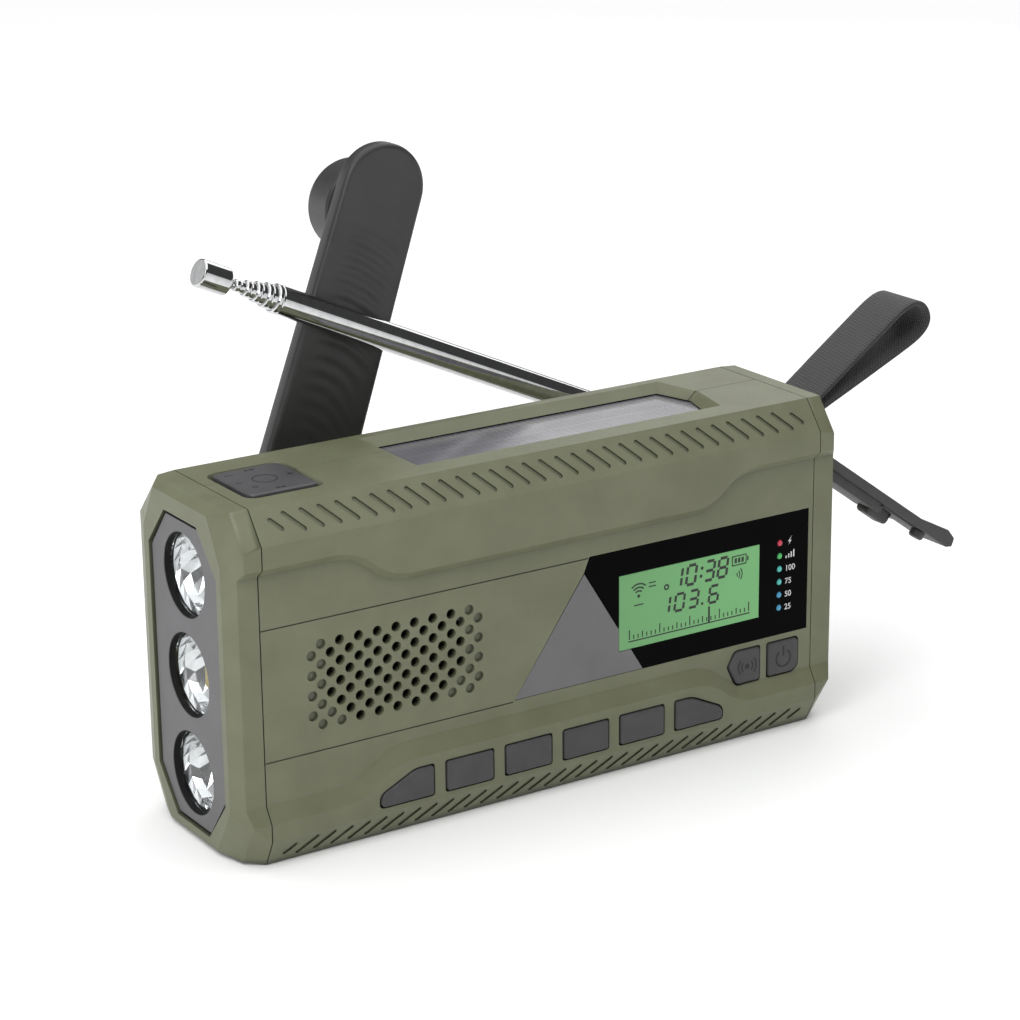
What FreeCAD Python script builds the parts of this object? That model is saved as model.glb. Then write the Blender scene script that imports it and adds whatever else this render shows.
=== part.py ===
import FreeCAD, Part
import math
import os

# Hand-crank emergency radio with torch, display, solar panel, telescopic aerial and wrist strap.
# Millimetres. +X runs along the case, the front panel faces -Y, +Z is up.
# The origin is the centre of the case's footprint on the surface it stands on.

doc = FreeCAD.newDocument("EmergencyRadio")
vec = FreeCAD.Vector
sheet = doc.addObject("Spreadsheet::Sheet", "Sizes")

SIZES = [
    ("overall_length", 160.8), ("overall_height", 80.0), ("overall_depth", 48.8),
    ("cap_length", 6.5), ("seam_gap", 0.2), ("wall", 2.0), ("parting_y", 0.9),
    ("top_inset", 5.5), ("top_drop", 7.0), ("bottom_inset", 3.3), ("bottom_rise", 6.4),
    ("rear_top_inset", 9.4), ("rear_top_drop", 10.0), ("shelf_depth", 3.0), ("shelf_height", 58.0),
    ("panel_recess", 2.2), ("left_end_half", 17.8), ("right_end_half", 21.0), ("cap_corner", 2.4),
    ("brow_high", 68.0), ("brow_low", 60.5), ("ledge_low", 10.3), ("ledge_high", 17.3),
    ("wave_inner", 37.5), ("wave_outer", 56.5),
    ("slot_pitch", 4.3), ("slot_width", 1.1), ("slot_cut", 0.4),
    ("speaker_x", -40.7), ("speaker_z", 38.9), ("speaker_pitch_x", 4.67), ("speaker_pitch_z", 4.6),
    ("speaker_hole", 1.15), ("speaker_radius", 20.0), ("speaker_depth", 12.0),
    ("window_thickness", 1.4), ("window_right", 72.4), ("window_bottom", 24.2), ("window_top", 54.0),
    ("lcd_left", 18.2), ("lcd_length", 39.9), ("lcd_bottom", 29.7), ("lcd_height", 18.0),
    ("led_x", 64.2), ("led_top", 46.9), ("led_pitch", 3.22), ("led_radius", 0.8),
    ("key_pitch", 15.6), ("key_width", 12.2), ("key_bottom", 7.8), ("key_height", 7.0),
    ("key_centre", -0.4), ("key_gap", 0.35), ("key_proud", 0.5), ("key_flange", 0.8),
    ("pad_x", -61.0), ("pad_y", -2.7), ("pad_length", 16.4), ("pad_width", 18.4), ("pad_gap", 0.5),
    ("solar_left", -28.8), ("solar_right", 53.5), ("solar_point", 2.9), ("solar_half", 12.6),
    ("solar_bevel", 2.8), ("solar_thickness", 1.6),
    ("torch_pitch", 22.9), ("torch_z", 38.4), ("lens_radius", 9.4), ("lens_thickness", 1.2),
    ("bezel_half", 14.8), ("bezel_bottom", 4.0), ("bezel_top", 73.3), ("bezel_thickness", 3.0),
    ("bezel_gap", 0.9),
    ("crank_x", -42.8), ("crank_z", 40.0), ("crank_lean", 19.3), ("hub_radius", 16.3),
    ("fold_offset", 11.5), ("fold_inset", 1.9), ("fold_pin", 1.0), ("lug_radius", 2.9),
    ("arm_clear", 0.4), ("arm_thickness", 4.6), ("arm_reach", 97.0), ("arm_tip_radius", 10.6),
    ("arm_root_half", 12.3), ("knob_reach", 91.5), ("knob_radius", 10.8), ("knob_length", 9.6),
    ("knob_bore", 2.3), ("running_gap", 0.06),
    ("gear_module", 0.75), ("gear_teeth", 40), ("pinion_teeth", 10), ("gear_width", 2.4),
    ("aerial_x", 63.4), ("aerial_clear", 0.4), ("aerial_z", 63.5), ("aerial_lean", 65.5),
    ("aerial_radius", 3.4), ("aerial_step", 0.5), ("aerial_tube", 116.6), ("aerial_show", 2.6),
    ("aerial_wall_gap", 0.07), ("aerial_tip_start", 128.2), ("aerial_tip_length", 8.3),
    ("aerial_tip_radius", 3.25), ("knuckle_radius", 4.8),
    ("strap_inset", 1.4), ("strap_z", 61.7), ("strap_reach", 44.6), ("strap_end_z", 87.0),
    ("strap_width", 14.4), ("strap_y", 8.1), ("strap_thickness", 1.2), ("strap_pin", 1.1),
    ("strap_end_radius", 5.0),
    ("flap_inset", 0.4), ("flap_z", 64.6), ("flap_y", -7.0), ("flap_width", 11.8), ("flap_open", 54.0),
    ("flap_length", 56.5), ("flap_thickness", 2.4), ("flap_band", 2.2), ("flap_barrel", 1.7),
    ("usb_z", 31.8), ("audio_z", 18.1),
    ("cell_radius", 9.2), ("cell_length", 65.0), ("cell_y", 11.4), ("cell_z", 12.0),
]
for row, (name, number) in enumerate(SIZES, start=1):
    sheet.set("A%d" % row, name)
    sheet.set("B%d" % row, str(number))
    sheet.setAlias("B%d" % row, name)
doc.recompute()


class Size(float):
    """A number that also carries the spreadsheet expression it came from."""

    def __new__(cls, value, text=None):
        made = super().__new__(cls, value)
        made.text = text or "%.6f" % value
        return made

    def join(self, other, sign, value, other_first=False):
        other_text = other.text if isinstance(other, Size) else "%.6f" % other
        parts = (other_text, sign, self.text) if other_first else (self.text, sign, other_text)
        return Size(value, "(%s %s %s)" % parts)

    def __add__(self, other):
        return self.join(other, "+", float(self) + float(other))

    def __radd__(self, other):
        return self.join(other, "+", float(other) + float(self), True)

    def __sub__(self, other):
        return self.join(other, "-", float(self) - float(other))

    def __rsub__(self, other):
        return self.join(other, "-", float(other) - float(self), True)

    def __mul__(self, other):
        return self.join(other, "*", float(self) * float(other))

    def __rmul__(self, other):
        return self.join(other, "*", float(other) * float(self), True)

    def __truediv__(self, other):
        return self.join(other, "/", float(self) / float(other))

    def __neg__(self):
        return Size(-float(self), "(0 - %s)" % self.text)


class Sizes:
    """The spreadsheet's cells as named Size values."""


s = Sizes()
for name, number in SIZES:
    setattr(s, name, Size(number, "Sizes." + name))

PLANES = {"X": "YZ_Plane", "Y": "XZ_Plane", "Z": "XY_Plane"}
FACING = {"X": 1, "Y": -1, "Z": 1}
finished = []


# ---- drawing helpers ---------------------------------------------------------------------------

def polygon(points):
    """Straight edges round a list of corners."""
    corners = [vec(float(a), float(b), 0) for a, b in points]
    return [Part.LineSegment(p, q) for p, q in zip(corners, corners[1:] + corners[:1])]


def circle(a, b, radius):
    return [Part.Circle(vec(float(a), float(b), 0), vec(0, 0, 1), float(radius))]


def rectangle(low_a, low_b, high_a, high_b):
    return polygon([(low_a, low_b), (high_a, low_b), (high_a, high_b), (low_a, high_b)])


def rounded(points, radii):
    """A polygon whose corner k is replaced by an arc of radius radii[k] where that is not 0."""
    corners = [vec(float(a), float(b), 0) for a, b in points]
    count = len(corners)
    ends = []
    arcs = []
    for k in range(count):
        here = corners[k]
        back = (corners[k - 1] - here).normalize()
        ahead = (corners[(k + 1) % count] - here).normalize()
        radius = float(radii[k])
        if radius == 0:
            ends.append((here, here))
            arcs.append(None)
            continue
        half_angle = back.getAngle(ahead) / 2
        reach = radius / math.tan(half_angle)
        centre = here + (back + ahead).normalize() * (radius / math.sin(half_angle))
        middle = centre + (here - centre).normalize() * radius
        ends.append((here + back * reach, here + ahead * reach))
        arcs.append(middle)
    edges = []
    for k in range(count):
        start, finish = ends[k]
        if arcs[k] is not None:
            edges.append(Part.Arc(start, arcs[k], finish))
        edges.append(Part.LineSegment(finish, ends[(k + 1) % count][0]))
    return edges


def s_curve(start, finish):
    """Two equal arcs from start to finish, level at both ends."""
    run = finish[0] - start[0]
    rise = finish[1] - start[1]
    radius = (run * run + rise * rise) / (4 * abs(rise))
    half_turn = math.atan2(abs(rise), abs(run))
    across = math.copysign(radius * math.sin(half_turn), run)
    along = math.copysign(radius * (1 - math.cos(half_turn)), rise)
    p = vec(start[0], start[1], 0)
    q = vec(finish[0], finish[1], 0)
    middle = (p + q) * 0.5
    bow = vec(across, along, 0)
    return [Part.Arc(p, p + bow, middle), Part.Arc(middle, q - bow, q)]


def new_body(label):
    body = doc.addObject("PartDesign::Body", label)
    body.Label = label
    finished.append(body)
    return body


def sketch_on(body, axis, position, edges, tilt=None):
    """A sketch across an axis at a position on it; tilt is an extra (rotation, origin) pair."""
    sketch = body.newObject("Sketcher::SketchObject", body.Name + "_outline")
    plane = [f for f in body.Origin.OriginFeatures if f.Role == PLANES[axis]][0]
    sketch.AttachmentSupport = [(plane, "")]
    sketch.MapMode = "FlatFace"
    if tilt:
        rotation, origin = tilt
        sketch.AttachmentOffset = FreeCAD.Placement(origin, rotation)
    else:
        offset = vec(0, 0, FACING[axis] * float(position))
        sketch.AttachmentOffset = FreeCAD.Placement(offset, FreeCAD.Rotation())
    for edge in edges:
        sketch.addGeometry(edge, False)
    sketch.Visibility = False
    return sketch


def bind(feature, name, amount):
    """Drive a property from the spreadsheet when the amount comes from it."""
    setattr(feature, name, float(amount))
    if isinstance(amount, Size) and "Sizes." in amount.text:
        feature.setExpression(name, amount.text)


def add(body, axis, low, high, edges):
    """Fill the closed outlines between two positions on an axis."""
    start = low if FACING[axis] > 0 else high
    pad = body.newObject("PartDesign::Pad", body.Name + "_pad")
    pad.Profile = sketch_on(body, axis, start, edges)
    bind(pad, "Length", high - low)
    return pad


def cut(body, axis, low, high, edges):
    """Clear the closed outlines between two positions on an axis."""
    start = high if FACING[axis] > 0 else low
    pocket = body.newObject("PartDesign::Pocket", body.Name + "_pocket")
    pocket.Profile = sketch_on(body, axis, start, edges)
    bind(pocket, "Length", high - low)
    return pocket


def loft(body, kind, axis, stations):
    """Add or cut the ruled skin through outlines at successive positions on an axis."""
    sketches = [sketch_on(body, axis, position, edges) for position, edges in stations]
    feature = body.newObject("PartDesign::" + kind, body.Name + "_loft")
    feature.Profile = sketches[0]
    feature.Sections = sketches[1:]
    feature.Ruled = True
    return feature


def turn(body, edges, plane_axis, about, origin=(0, 0)):
    """Revolve an outline a full turn about its sketch's H_Axis or V_Axis through an origin."""
    shift = (FreeCAD.Rotation(), vec(float(origin[0]), float(origin[1]), 0))
    feature = body.newObject("PartDesign::Revolution", body.Name + "_turn")
    feature.Profile = sketch_on(body, plane_axis, 0, edges, shift)
    feature.ReferenceAxis = (feature.Profile[0], [about])
    feature.Angle = 360.0
    return feature


def place(body, base, axis=None, degrees=0.0):
    """Set a sub-part down by its own origin, turned about an axis through it."""
    rotation = FreeCAD.Rotation(axis, float(degrees)) if axis else FreeCAD.Rotation()
    body.Placement = FreeCAD.Placement(vec(*[float(b) for b in base]), rotation)
    for letter, amount in zip("xyz", base):
        if isinstance(amount, Size) and "Sizes." in amount.text:
            body.setExpression("Placement.Base." + letter, amount.text)


# ---- case --------------------------------------------------------------------------------------

half = s.overall_length / 2
seam = half - s.cap_length
shell_end = seam - s.seam_gap
front = -(s.overall_depth / 2)
rear = s.overall_depth / 2
top = s.overall_height
panel_y = front + s.panel_recess
inside_front = panel_y + s.wall
split_front = s.parting_y - 0.08
split_rear = s.parting_y + 0.08
shelf_y = rear - s.shelf_depth
inside_rear = rear - s.wall
inside_shelf = shelf_y - s.wall
ceiling = top - s.wall
bottom_flat = front + s.bottom_inset
aerial_y = shelf_y + s.aerial_clear + s.aerial_radius
arm_front = aerial_y + s.aerial_radius + s.arm_clear
fold_y = arm_front - s.fold_inset
strap_x = half - s.strap_inset
strap_end_x = strap_x + s.strap_reach
flap_x = half - s.flap_inset
boss_points = [(-60.0, 8.0), (60.0, 8.0), (-29.0, 69.5), (48.0, 69.5)]
boss_radius = 2.8
screw_radius = 1.2
board_front = -4.6


def wave(high_end, high_middle, low_end, low_middle):
    """The front panel's outline: level edges joined by smooth steps at both ends."""
    far = float(half) + 3
    steps = (-float(s.wave_outer), -float(s.wave_inner), float(s.wave_inner), float(s.wave_outer))
    a, b, c, d = steps
    edges = [Part.LineSegment(vec(-far, high_end, 0), vec(a, high_end, 0))]
    edges += s_curve((a, high_end), (b, high_middle))
    edges += [Part.LineSegment(vec(b, high_middle, 0), vec(c, high_middle, 0))]
    edges += s_curve((c, high_middle), (d, high_end))
    edges += [Part.LineSegment(vec(d, high_end, 0), vec(far, high_end, 0))]
    edges += [Part.LineSegment(vec(far, high_end, 0), vec(far, low_end, 0))]
    edges += [Part.LineSegment(vec(far, low_end, 0), vec(d, low_end, 0))]
    edges += s_curve((d, low_end), (c, low_middle))
    edges += [Part.LineSegment(vec(c, low_middle, 0), vec(b, low_middle, 0))]
    edges += s_curve((b, low_middle), (a, low_end))
    edges += [Part.LineSegment(vec(a, low_end, 0), vec(-far, low_end, 0))]
    edges += [Part.LineSegment(vec(-far, low_end, 0), vec(-far, high_end, 0))]
    return edges


brow_slope = 2.0
ledge_slope = 3.7
wave_outer = wave(float(s.brow_high), float(s.brow_low), float(s.ledge_low), float(s.ledge_high))
wave_floor = wave(float(s.brow_high) - brow_slope, float(s.brow_low) - brow_slope,
                  float(s.ledge_low) + ledge_slope, float(s.ledge_high) + ledge_slope)


def recess_front(body):
    """Sink the wavy front panel into the front face with sloping edges."""
    loft(body, "SubtractiveLoft", "Y", [(panel_y, wave_floor), (front, wave_outer)])


def solar_outline(inset):
    left = s.solar_left + inset
    right = s.solar_right - inset * 0.8
    side = s.solar_half - inset
    return polygon([(left, -side), (right, -side), (right + s.solar_point, 0), (right, side), (left, side)])


def pad_outline(grow):
    a = s.pad_length / 2 + grow
    b = s.pad_width / 2 + grow
    corners = [(s.pad_x - a, s.pad_y - b), (s.pad_x + a, s.pad_y - b),
               (s.pad_x + a, s.pad_y + b), (s.pad_x - a, s.pad_y + b)]
    return rounded(corners, [1.5 + grow] * 4)


def open_top(body):
    """Bevelled openings for the solar panel and the control pad, cut past both faces of the top."""
    past = 0.5
    pad_bevel = 0.9
    solar_slope = s.solar_bevel / s.wall * past
    pad_slope = pad_bevel / s.wall * past
    loft(body, "SubtractiveLoft", "Z", [(ceiling - past, solar_outline(s.solar_bevel + solar_slope)),
                                        (top + past, solar_outline(-solar_slope))])
    loft(body, "SubtractiveLoft", "Z", [(ceiling - past, pad_outline(s.pad_gap - pad_slope)),
                                        (top + past, pad_outline(s.pad_gap + pad_bevel + pad_slope))])


def slot_row(width_run, height):
    """Short slanted slots side by side, drawn about the row's middle line."""
    edges = []
    count = 33
    for k in range(count):
        x = (k - (count - 1) / 2) * float(s.slot_pitch)
        reach = 1.0 if 0 < k < count - 1 else 0.55
        a = vec(width_run * reach, height * reach, 0)
        side = vec(height, -width_run, 0).normalize() * float(s.slot_width) / 2
        middle = vec(x, 0, 0)
        p, q = middle - a, middle + a
        tip = a.normalize() * float(s.slot_width) / 2
        edges += [Part.LineSegment(p + side, q + side), Part.Arc(q + side, q + tip, q - side),
                  Part.LineSegment(q - side, p - side), Part.Arc(p - side, p - tip, p + side)]
    return edges


def cut_slots(body):
    """Grip slots pressed into the front's upper and lower chamfers."""
    rise = math.degrees(math.atan2(float(s.top_inset), float(s.top_drop)))
    origin = vec(0, top - s.top_drop / 2, -(front + s.top_inset / 2))
    tilt = (FreeCAD.Rotation(vec(1, 0, 0), -rise), origin)
    upper = body.newObject("PartDesign::Pocket", body.Name + "_upper_slots")
    upper.Profile = sketch_on(body, "Y", 0, slot_row(-1.8, 2.1), tilt)
    bind(upper, "Length", s.slot_cut)
    drop = math.degrees(math.atan2(float(s.bottom_inset), float(s.bottom_rise)))
    origin = vec(0, s.bottom_rise / 2, -(front + s.bottom_inset / 2))
    tilt = (FreeCAD.Rotation(vec(1, 0, 0), drop), origin)
    lower = body.newObject("PartDesign::Pocket", body.Name + "_lower_slots")
    lower.Profile = sketch_on(body, "Y", 0, slot_row(2.0, 1.8), tilt)
    bind(lower, "Length", s.slot_cut)


def speaker_holes():
    """Two interleaved grids of grille holes: the through holes, and the blind ones at the ends."""
    through, blind = [], []
    radius = s.speaker_hole
    for column in range(19):
        x = s.speaker_x + (column - 9) * s.speaker_pitch_x / 2
        rows = (-1.5, -0.5, 0.5, 1.5) if column % 2 == 0 else (-2.0, -1.0, 0.0, 1.0, 2.0)
        for row in rows:
            z = s.speaker_z + row * s.speaker_pitch_z
            edge_column = column < 2 or column > 16
            low_corner = row == rows[0] and column in (2, 3, 15, 16)
            (blind if edge_column or low_corner else through).extend(circle(x, z, radius))
    return through, blind


key_top = s.key_bottom + s.key_height


def key_outline(index, grow):
    """Outline of lower key number index, grown all round; the end keys have a swept outer side."""
    middle = s.key_centre + (index - 2.5) * s.key_pitch
    a = float(middle - s.key_width / 2) - grow
    b = float(middle + s.key_width / 2) + grow
    low = float(s.key_bottom) - grow
    high = float(key_top) + grow
    sweep = 1.3
    knee = float(s.key_bottom) + 2.8 + 0.63 * grow
    shoulder = 7.5 + 0.78 * grow
    if index == 0:
        return rounded([(a - sweep, low), (b, low), (b, high), (a + shoulder, high), (a - sweep, knee)],
                       [1.1, 0.7, 0.7, 6.0, 2.4])
    if index == 5:
        return rounded([(a, low), (b + sweep, low), (b + sweep, knee), (b - shoulder, high), (a, high)],
                       [0.7, 1.1, 2.4, 6.0, 0.7])
    return rounded([(a, low), (b, low), (b, high), (a, high)], [0.7] * 4)


def alarm_outline(grow):
    corners = [(51.6 - grow, 14.2 - grow), (58.4 + grow, 14.2 - grow), (58.4 + grow, 22.4 + grow),
               (51.4 - grow, 22.4 + grow), (49.2 - grow, 19.0)]
    return rounded(corners, [1.6, 0.7, 0.7, 1.6, 1.2])


def power_outline(grow):
    corners = [(60.9 - grow, 14.2 - grow), (69.8 + grow, 14.2 - grow),
               (69.8 + grow, 22.4 + grow), (60.9 - grow, 22.4 + grow)]
    return rounded(corners, [0.7, 2.4, 1.2, 0.7])


# The display's outline has a raked left side; the accent triangle takes its lower left corner.
rake_top = 10.1
rake_low = (-10.3, 24.8)
rake_knee = (8.6, 50.5)
window_fit = 0.12


def display_outline(grow):
    """The pocket that the window and the accent triangle share."""
    return polygon([(rake_low[0] - grow, s.window_bottom - grow),
                    (s.window_right + grow, s.window_bottom - grow),
                    (s.window_right + grow, s.window_top + grow), (rake_top - grow, s.window_top + grow),
                    (rake_knee[0] - grow, rake_knee[1])])


def window_outline():
    seam_half = 0.1
    return polygon([(rake_low[1] + seam_half, s.window_bottom), (s.window_right, s.window_bottom),
                    (s.window_right, s.window_top), (rake_top, s.window_top),
                    (rake_knee[0] + seam_half, rake_knee[1] + seam_half)])


def accent_outline():
    seam_half = 0.1
    return polygon([(rake_low[0], s.window_bottom), (rake_low[1] - seam_half, s.window_bottom),
                    (rake_knee[0], rake_knee[1] - 3 * seam_half)])


lcd_right = s.lcd_left + s.lcd_length
lcd_top = s.lcd_bottom + s.lcd_height


def make_front_shell():
    body = new_body("front_shell")
    inner_corner = inside_front + 3.7
    profile = polygon([
        (split_front, top), (front + s.top_inset, top), (front, top - s.top_drop),
        (front, s.bottom_rise), (bottom_flat, 0), (split_front, 0),
        (split_front, s.wall), (inside_front, s.wall), (inside_front, top - s.top_drop + 0.5),
        (inner_corner, ceiling), (split_front, ceiling)])
    add(body, "X", -shell_end, shell_end, profile)
    bosses = []
    pilots = []
    for x, z in boss_points:
        bosses += circle(x, z, boss_radius)
        pilots += circle(x, z, screw_radius)
    add(body, "Y", inside_front - 0.2, split_front, bosses)
    shoulders = []
    for x, z in boss_points[1::2]:
        shoulders += circle(x, z, boss_radius + 1.0)
    add(body, "Y", inside_front - 0.2, board_front, shoulders)
    cut(body, "Y", split_front - 10, split_front, pilots)
    recess_front(body)
    open_top(body)
    cut_slots(body)
    window_floor = panel_y + s.window_thickness
    cut(body, "Y", panel_y - 0.5, window_floor, display_outline(window_fit))
    cut(body, "Y", window_floor - 0.2, inside_front + 0.2,
        rectangle(s.lcd_left - 0.4, s.lcd_bottom - 0.4, lcd_right + 0.4, lcd_top + 0.4))
    cut(body, "Y", window_floor - 0.2, inside_front + 0.2,
        rectangle(s.led_x - 1.2, s.led_top - 5 * s.led_pitch - 1.2, s.led_x + 1.2, s.led_top + 1.2))
    groove = 0.15
    cut(body, "Y", panel_y - 0.5, panel_y + 0.25,
        rectangle(-shell_end - 1, s.window_bottom - 0.4 - groove,
                  rake_low[0] - 0.5, s.window_bottom - 0.4 + groove)
        + rectangle(-shell_end - 1, s.window_top - 0.2 - groove, rake_top - 0.5, s.window_top - 0.2 + groove))
    through, blind = speaker_holes()
    cut(body, "Y", panel_y - 0.5, inside_front + 0.2, through)
    cut(body, "Y", panel_y - 0.5, panel_y + 0.7, blind)
    openings = []
    for index in range(6):
        openings += key_outline(index, float(s.key_gap))
    openings += alarm_outline(float(s.key_gap))
    openings += power_outline(float(s.key_gap))
    cut(body, "Y", front - 1, inside_front + 0.2, openings)


knob_park_x = s.crank_x + s.knob_reach - 2 * s.fold_offset
hub_floor = 17.6
arm_floor = 20.2
knob_floor = 5.0
tub_wall = 1.6
channel_half = s.arm_root_half + 0.9
channel_end = s.crank_x + s.arm_reach + s.arm_tip_radius - 2 * s.fold_offset + 1.0


def channel_outline(grow):
    """The parked crank arm's channel, rounded at its far end."""
    side = float(channel_half) + grow
    z = float(s.crank_z)
    finish = float(channel_end) + grow
    corners = [(s.crank_x, z - side), (finish, z - side), (finish, z + side), (s.crank_x, z + side)]
    return rounded(corners, [0, side - 0.5, side - 0.5, 0])


def make_rear_shell():
    body = new_body("rear_shell")
    profile = polygon([
        (split_rear, top), (rear - s.rear_top_inset, top), (shelf_y, top - s.top_drop),
        (shelf_y, s.shelf_height), (rear, s.shelf_height - 2), (rear, s.bottom_rise),
        (rear - s.bottom_inset, 0), (split_rear, 0),
        (split_rear, s.wall), (inside_rear - 2, s.wall), (inside_rear, s.bottom_rise),
        (inside_rear, s.shelf_height - 3), (inside_shelf, s.shelf_height - 1),
        (inside_shelf, ceiling - 6), (rear - s.rear_top_inset - 1, ceiling), (split_rear, ceiling)])
    add(body, "X", -shell_end, shell_end, profile)
    screws = []
    heads = []
    for x, z in boss_points:
        wall_face = inside_rear if z < s.shelf_height else inside_shelf
        add(body, "Y", split_rear, wall_face + 0.3, circle(x, z, boss_radius))
        screws += circle(x, z, screw_radius + 0.1)
        heads += circle(x, z, 2.3)
    add(body, "Y", hub_floor - tub_wall, inside_rear + 0.3, circle(s.crank_x, s.crank_z, s.hub_radius + 2.1))
    add(body, "Y", arm_floor - tub_wall, inside_rear + 0.3, channel_outline(tub_wall))
    add(body, "Y", knob_floor - tub_wall, inside_rear + 0.3,
        circle(knob_park_x, s.crank_z, s.knob_radius + 3.0))
    cut(body, "Y", hub_floor, rear + 1, circle(s.crank_x, s.crank_z, s.hub_radius + 0.5))
    cut(body, "Y", arm_floor, rear + 1, channel_outline(0.0))
    cut(body, "Y", knob_floor, rear + 1, circle(knob_park_x, s.crank_z, s.knob_radius + 1.4))
    cut(body, "Y", hub_floor - tub_wall - 1, hub_floor + 0.5, circle(s.crank_x, s.crank_z, 3.0 + s.running_gap))
    cut(body, "Y", split_rear - 1, rear + 1, screws)
    cut(body, "Y", shelf_y - 1.6, rear + 1, heads)
    cut(body, "Y", inside_shelf - 0.5, shelf_y + 0.5, circle(s.aerial_x, s.aerial_z, 2.4 + s.running_gap))
    open_top(body)


def end_section(position, side):
    """Case outline at the seam (0), where the corners start (1) and at the end face (2), side wide each way."""
    if position == 0:
        return polygon([(front + s.top_inset, top), (front, top - s.top_drop), (front, s.bottom_rise),
                        (bottom_flat, 0), (-bottom_flat, 0), (rear, s.bottom_rise),
                        (rear, top - s.rear_top_drop), (rear - s.rear_top_inset, top)])
    if position == 1:
        return polygon([(front + s.top_inset + 0.5, top - 0.2), (front + 0.2, top - s.top_drop - 1.0),
                        (front + 0.2, s.bottom_rise + 4.0), (bottom_flat + 3.0, 0.5),
                        (-bottom_flat - 3.0, 0.5), (rear - 0.2, s.bottom_rise + 4.0),
                        (rear - 0.2, top - s.rear_top_drop - 1.0), (rear - s.rear_top_inset - 0.5, top - 0.2)])
    return polygon([(-12.5, 78.0), (-side, 68.0), (-side, 12.0), (-11.0, 1.2),
                    (11.0, 1.2), (side, 12.0), (side, 68.0), (12.5, 78.0)])


def octagon(half_width, low, high, grow):
    side = half_width + grow
    return polygon([(-side, low + 9.4 - grow * 0.4), (-side, high - 8.8 + grow * 0.4), (-7.5, high + grow),
                    (7.5, high + grow), (side, high - 8.8 + grow * 0.4), (side, low + 9.4 - grow * 0.4),
                    (7.5, low - grow), (-7.5, low - grow)])


def new_cap(label, side, end_half):
    """An end cap: side is -1 at the torch end and +1 at the sockets, its end face end_half wide each way."""
    body = new_body(label)
    corner = half - s.cap_corner
    stations = [(side * place_on, end_section(k, end_half)) for k, place_on in enumerate((seam, corner, half))]
    loft(body, "AdditiveLoft", "X", stations)
    recess_front(body)
    tongue = 1.6
    inner, outer = sorted((side * (seam - 2.0), side * (seam + 1.0)))
    add(body, "X", inner, outer,
        rectangle(inside_front, 30.0, inside_front + tongue, 52.0)
        + rectangle(inside_rear - tongue, 30.0, inside_rear, 52.0))
    return body


torch_heights = [s.torch_z + k * s.torch_pitch for k in (1, 0, -1)]
bezel_front = half - 0.5
bezel_floor = bezel_front - s.bezel_thickness
cap_inner = seam + 0.8


def make_caps():
    body = new_cap("left_end_cap", -1, s.left_end_half)
    cut(body, "X", -seam - 0.8, -seam + 0.5, octagon(s.bezel_half + 3.0, 5.0, 72.0, 0))
    cut(body, "X", -half - 1, -bezel_floor, octagon(s.bezel_half, s.bezel_bottom, s.bezel_top, s.bezel_gap))
    holes = []
    for z in torch_heights:
        holes += circle(0, z, s.lens_radius + 0.4)
    cut(body, "X", -half - 1, -seam + 1, holes)
    body = new_cap("right_end_cap", 1, s.right_end_half)
    cut(body, "X", seam - 0.5, seam + 0.8, octagon(s.bezel_half + 3.0, 5.0, 72.0, 0))
    flap_low = s.flap_y - s.flap_width / 2 - 0.5
    flap_high = s.flap_y + s.flap_width / 2 + 0.5
    cut(body, "X", half - 3.6, half + 1, rectangle(flap_low, s.flap_z - s.flap_length - 1.2, flap_high, 67.0))
    cut(body, "X", seam - 1, half, rectangle(-12.6, s.usb_z - 4.9, -1.6, s.usb_z + 4.9))
    cut(body, "X", seam - 1, half, circle(-10.0, s.audio_z, 2.5))
    cut(body, "X", half - 4.4, half + 1, rectangle(s.strap_y - 7.5, 57.0, s.strap_y + 7.5, 68.0))
    cut(body, "Y", flap_low - 1.1, flap_high + 0.6, circle(flap_x, s.flap_z, 0.8))
    cut(body, "Y", s.strap_y - 8.3, s.strap_y + 8.6, circle(strap_x, s.strap_z, s.strap_pin))


# ---- front panel pieces ------------------------------------------------------------------------

def plain(label, axis, low, high, edges):
    """A sub-part of one constant outline."""
    body = new_body(label)
    add(body, axis, low, high, edges)
    return body


def make_display():
    window_back = panel_y + s.window_thickness
    body = plain("display_window", "Y", panel_y, window_back, window_outline())
    cut(body, "Y", panel_y - 1, window_back + 1,
        rectangle(s.lcd_left - 0.15, s.lcd_bottom - 0.15, lcd_right + 0.15, lcd_top + 0.15))
    led_holes = []
    leds = []
    for k in range(6):
        z = s.led_top - k * s.led_pitch
        led_holes += circle(s.led_x, z, s.led_radius + 0.08)
        leds += circle(s.led_x, z, s.led_radius)
    cut(body, "Y", panel_y - 1, window_back + 1, led_holes)
    accent = plain("accent_panel", "Y", panel_y, window_back, accent_outline())
    cut(accent, "Y", panel_y - 1, window_back + 1,
        rectangle(s.lcd_left - 0.15, s.lcd_bottom - 0.15, lcd_right, lcd_top))
    body = plain("lcd_module", "Y", inside_front, inside_front + 2.7,
                 rectangle(s.lcd_left - 3.2, s.lcd_bottom - 2.7, s.led_x + 1.9, lcd_top + 3.3))
    add(body, "Y", panel_y + 0.05, inside_front + 0.4,
        rectangle(s.lcd_left, s.lcd_bottom, lcd_right, lcd_top))
    plain("indicator_leds", "Y", panel_y - 0.1, inside_front, leds)


def key_piece(label, outer_face, outline):
    """A rubber key: a cap through the wall and a wider flange that keeps it in."""
    body = new_body(label)
    add(body, "Y", outer_face, inside_front + 0.3, outline(0.0))
    add(body, "Y", inside_front + 0.15, inside_front + 1.0, outline(float(s.key_flange)))


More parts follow.
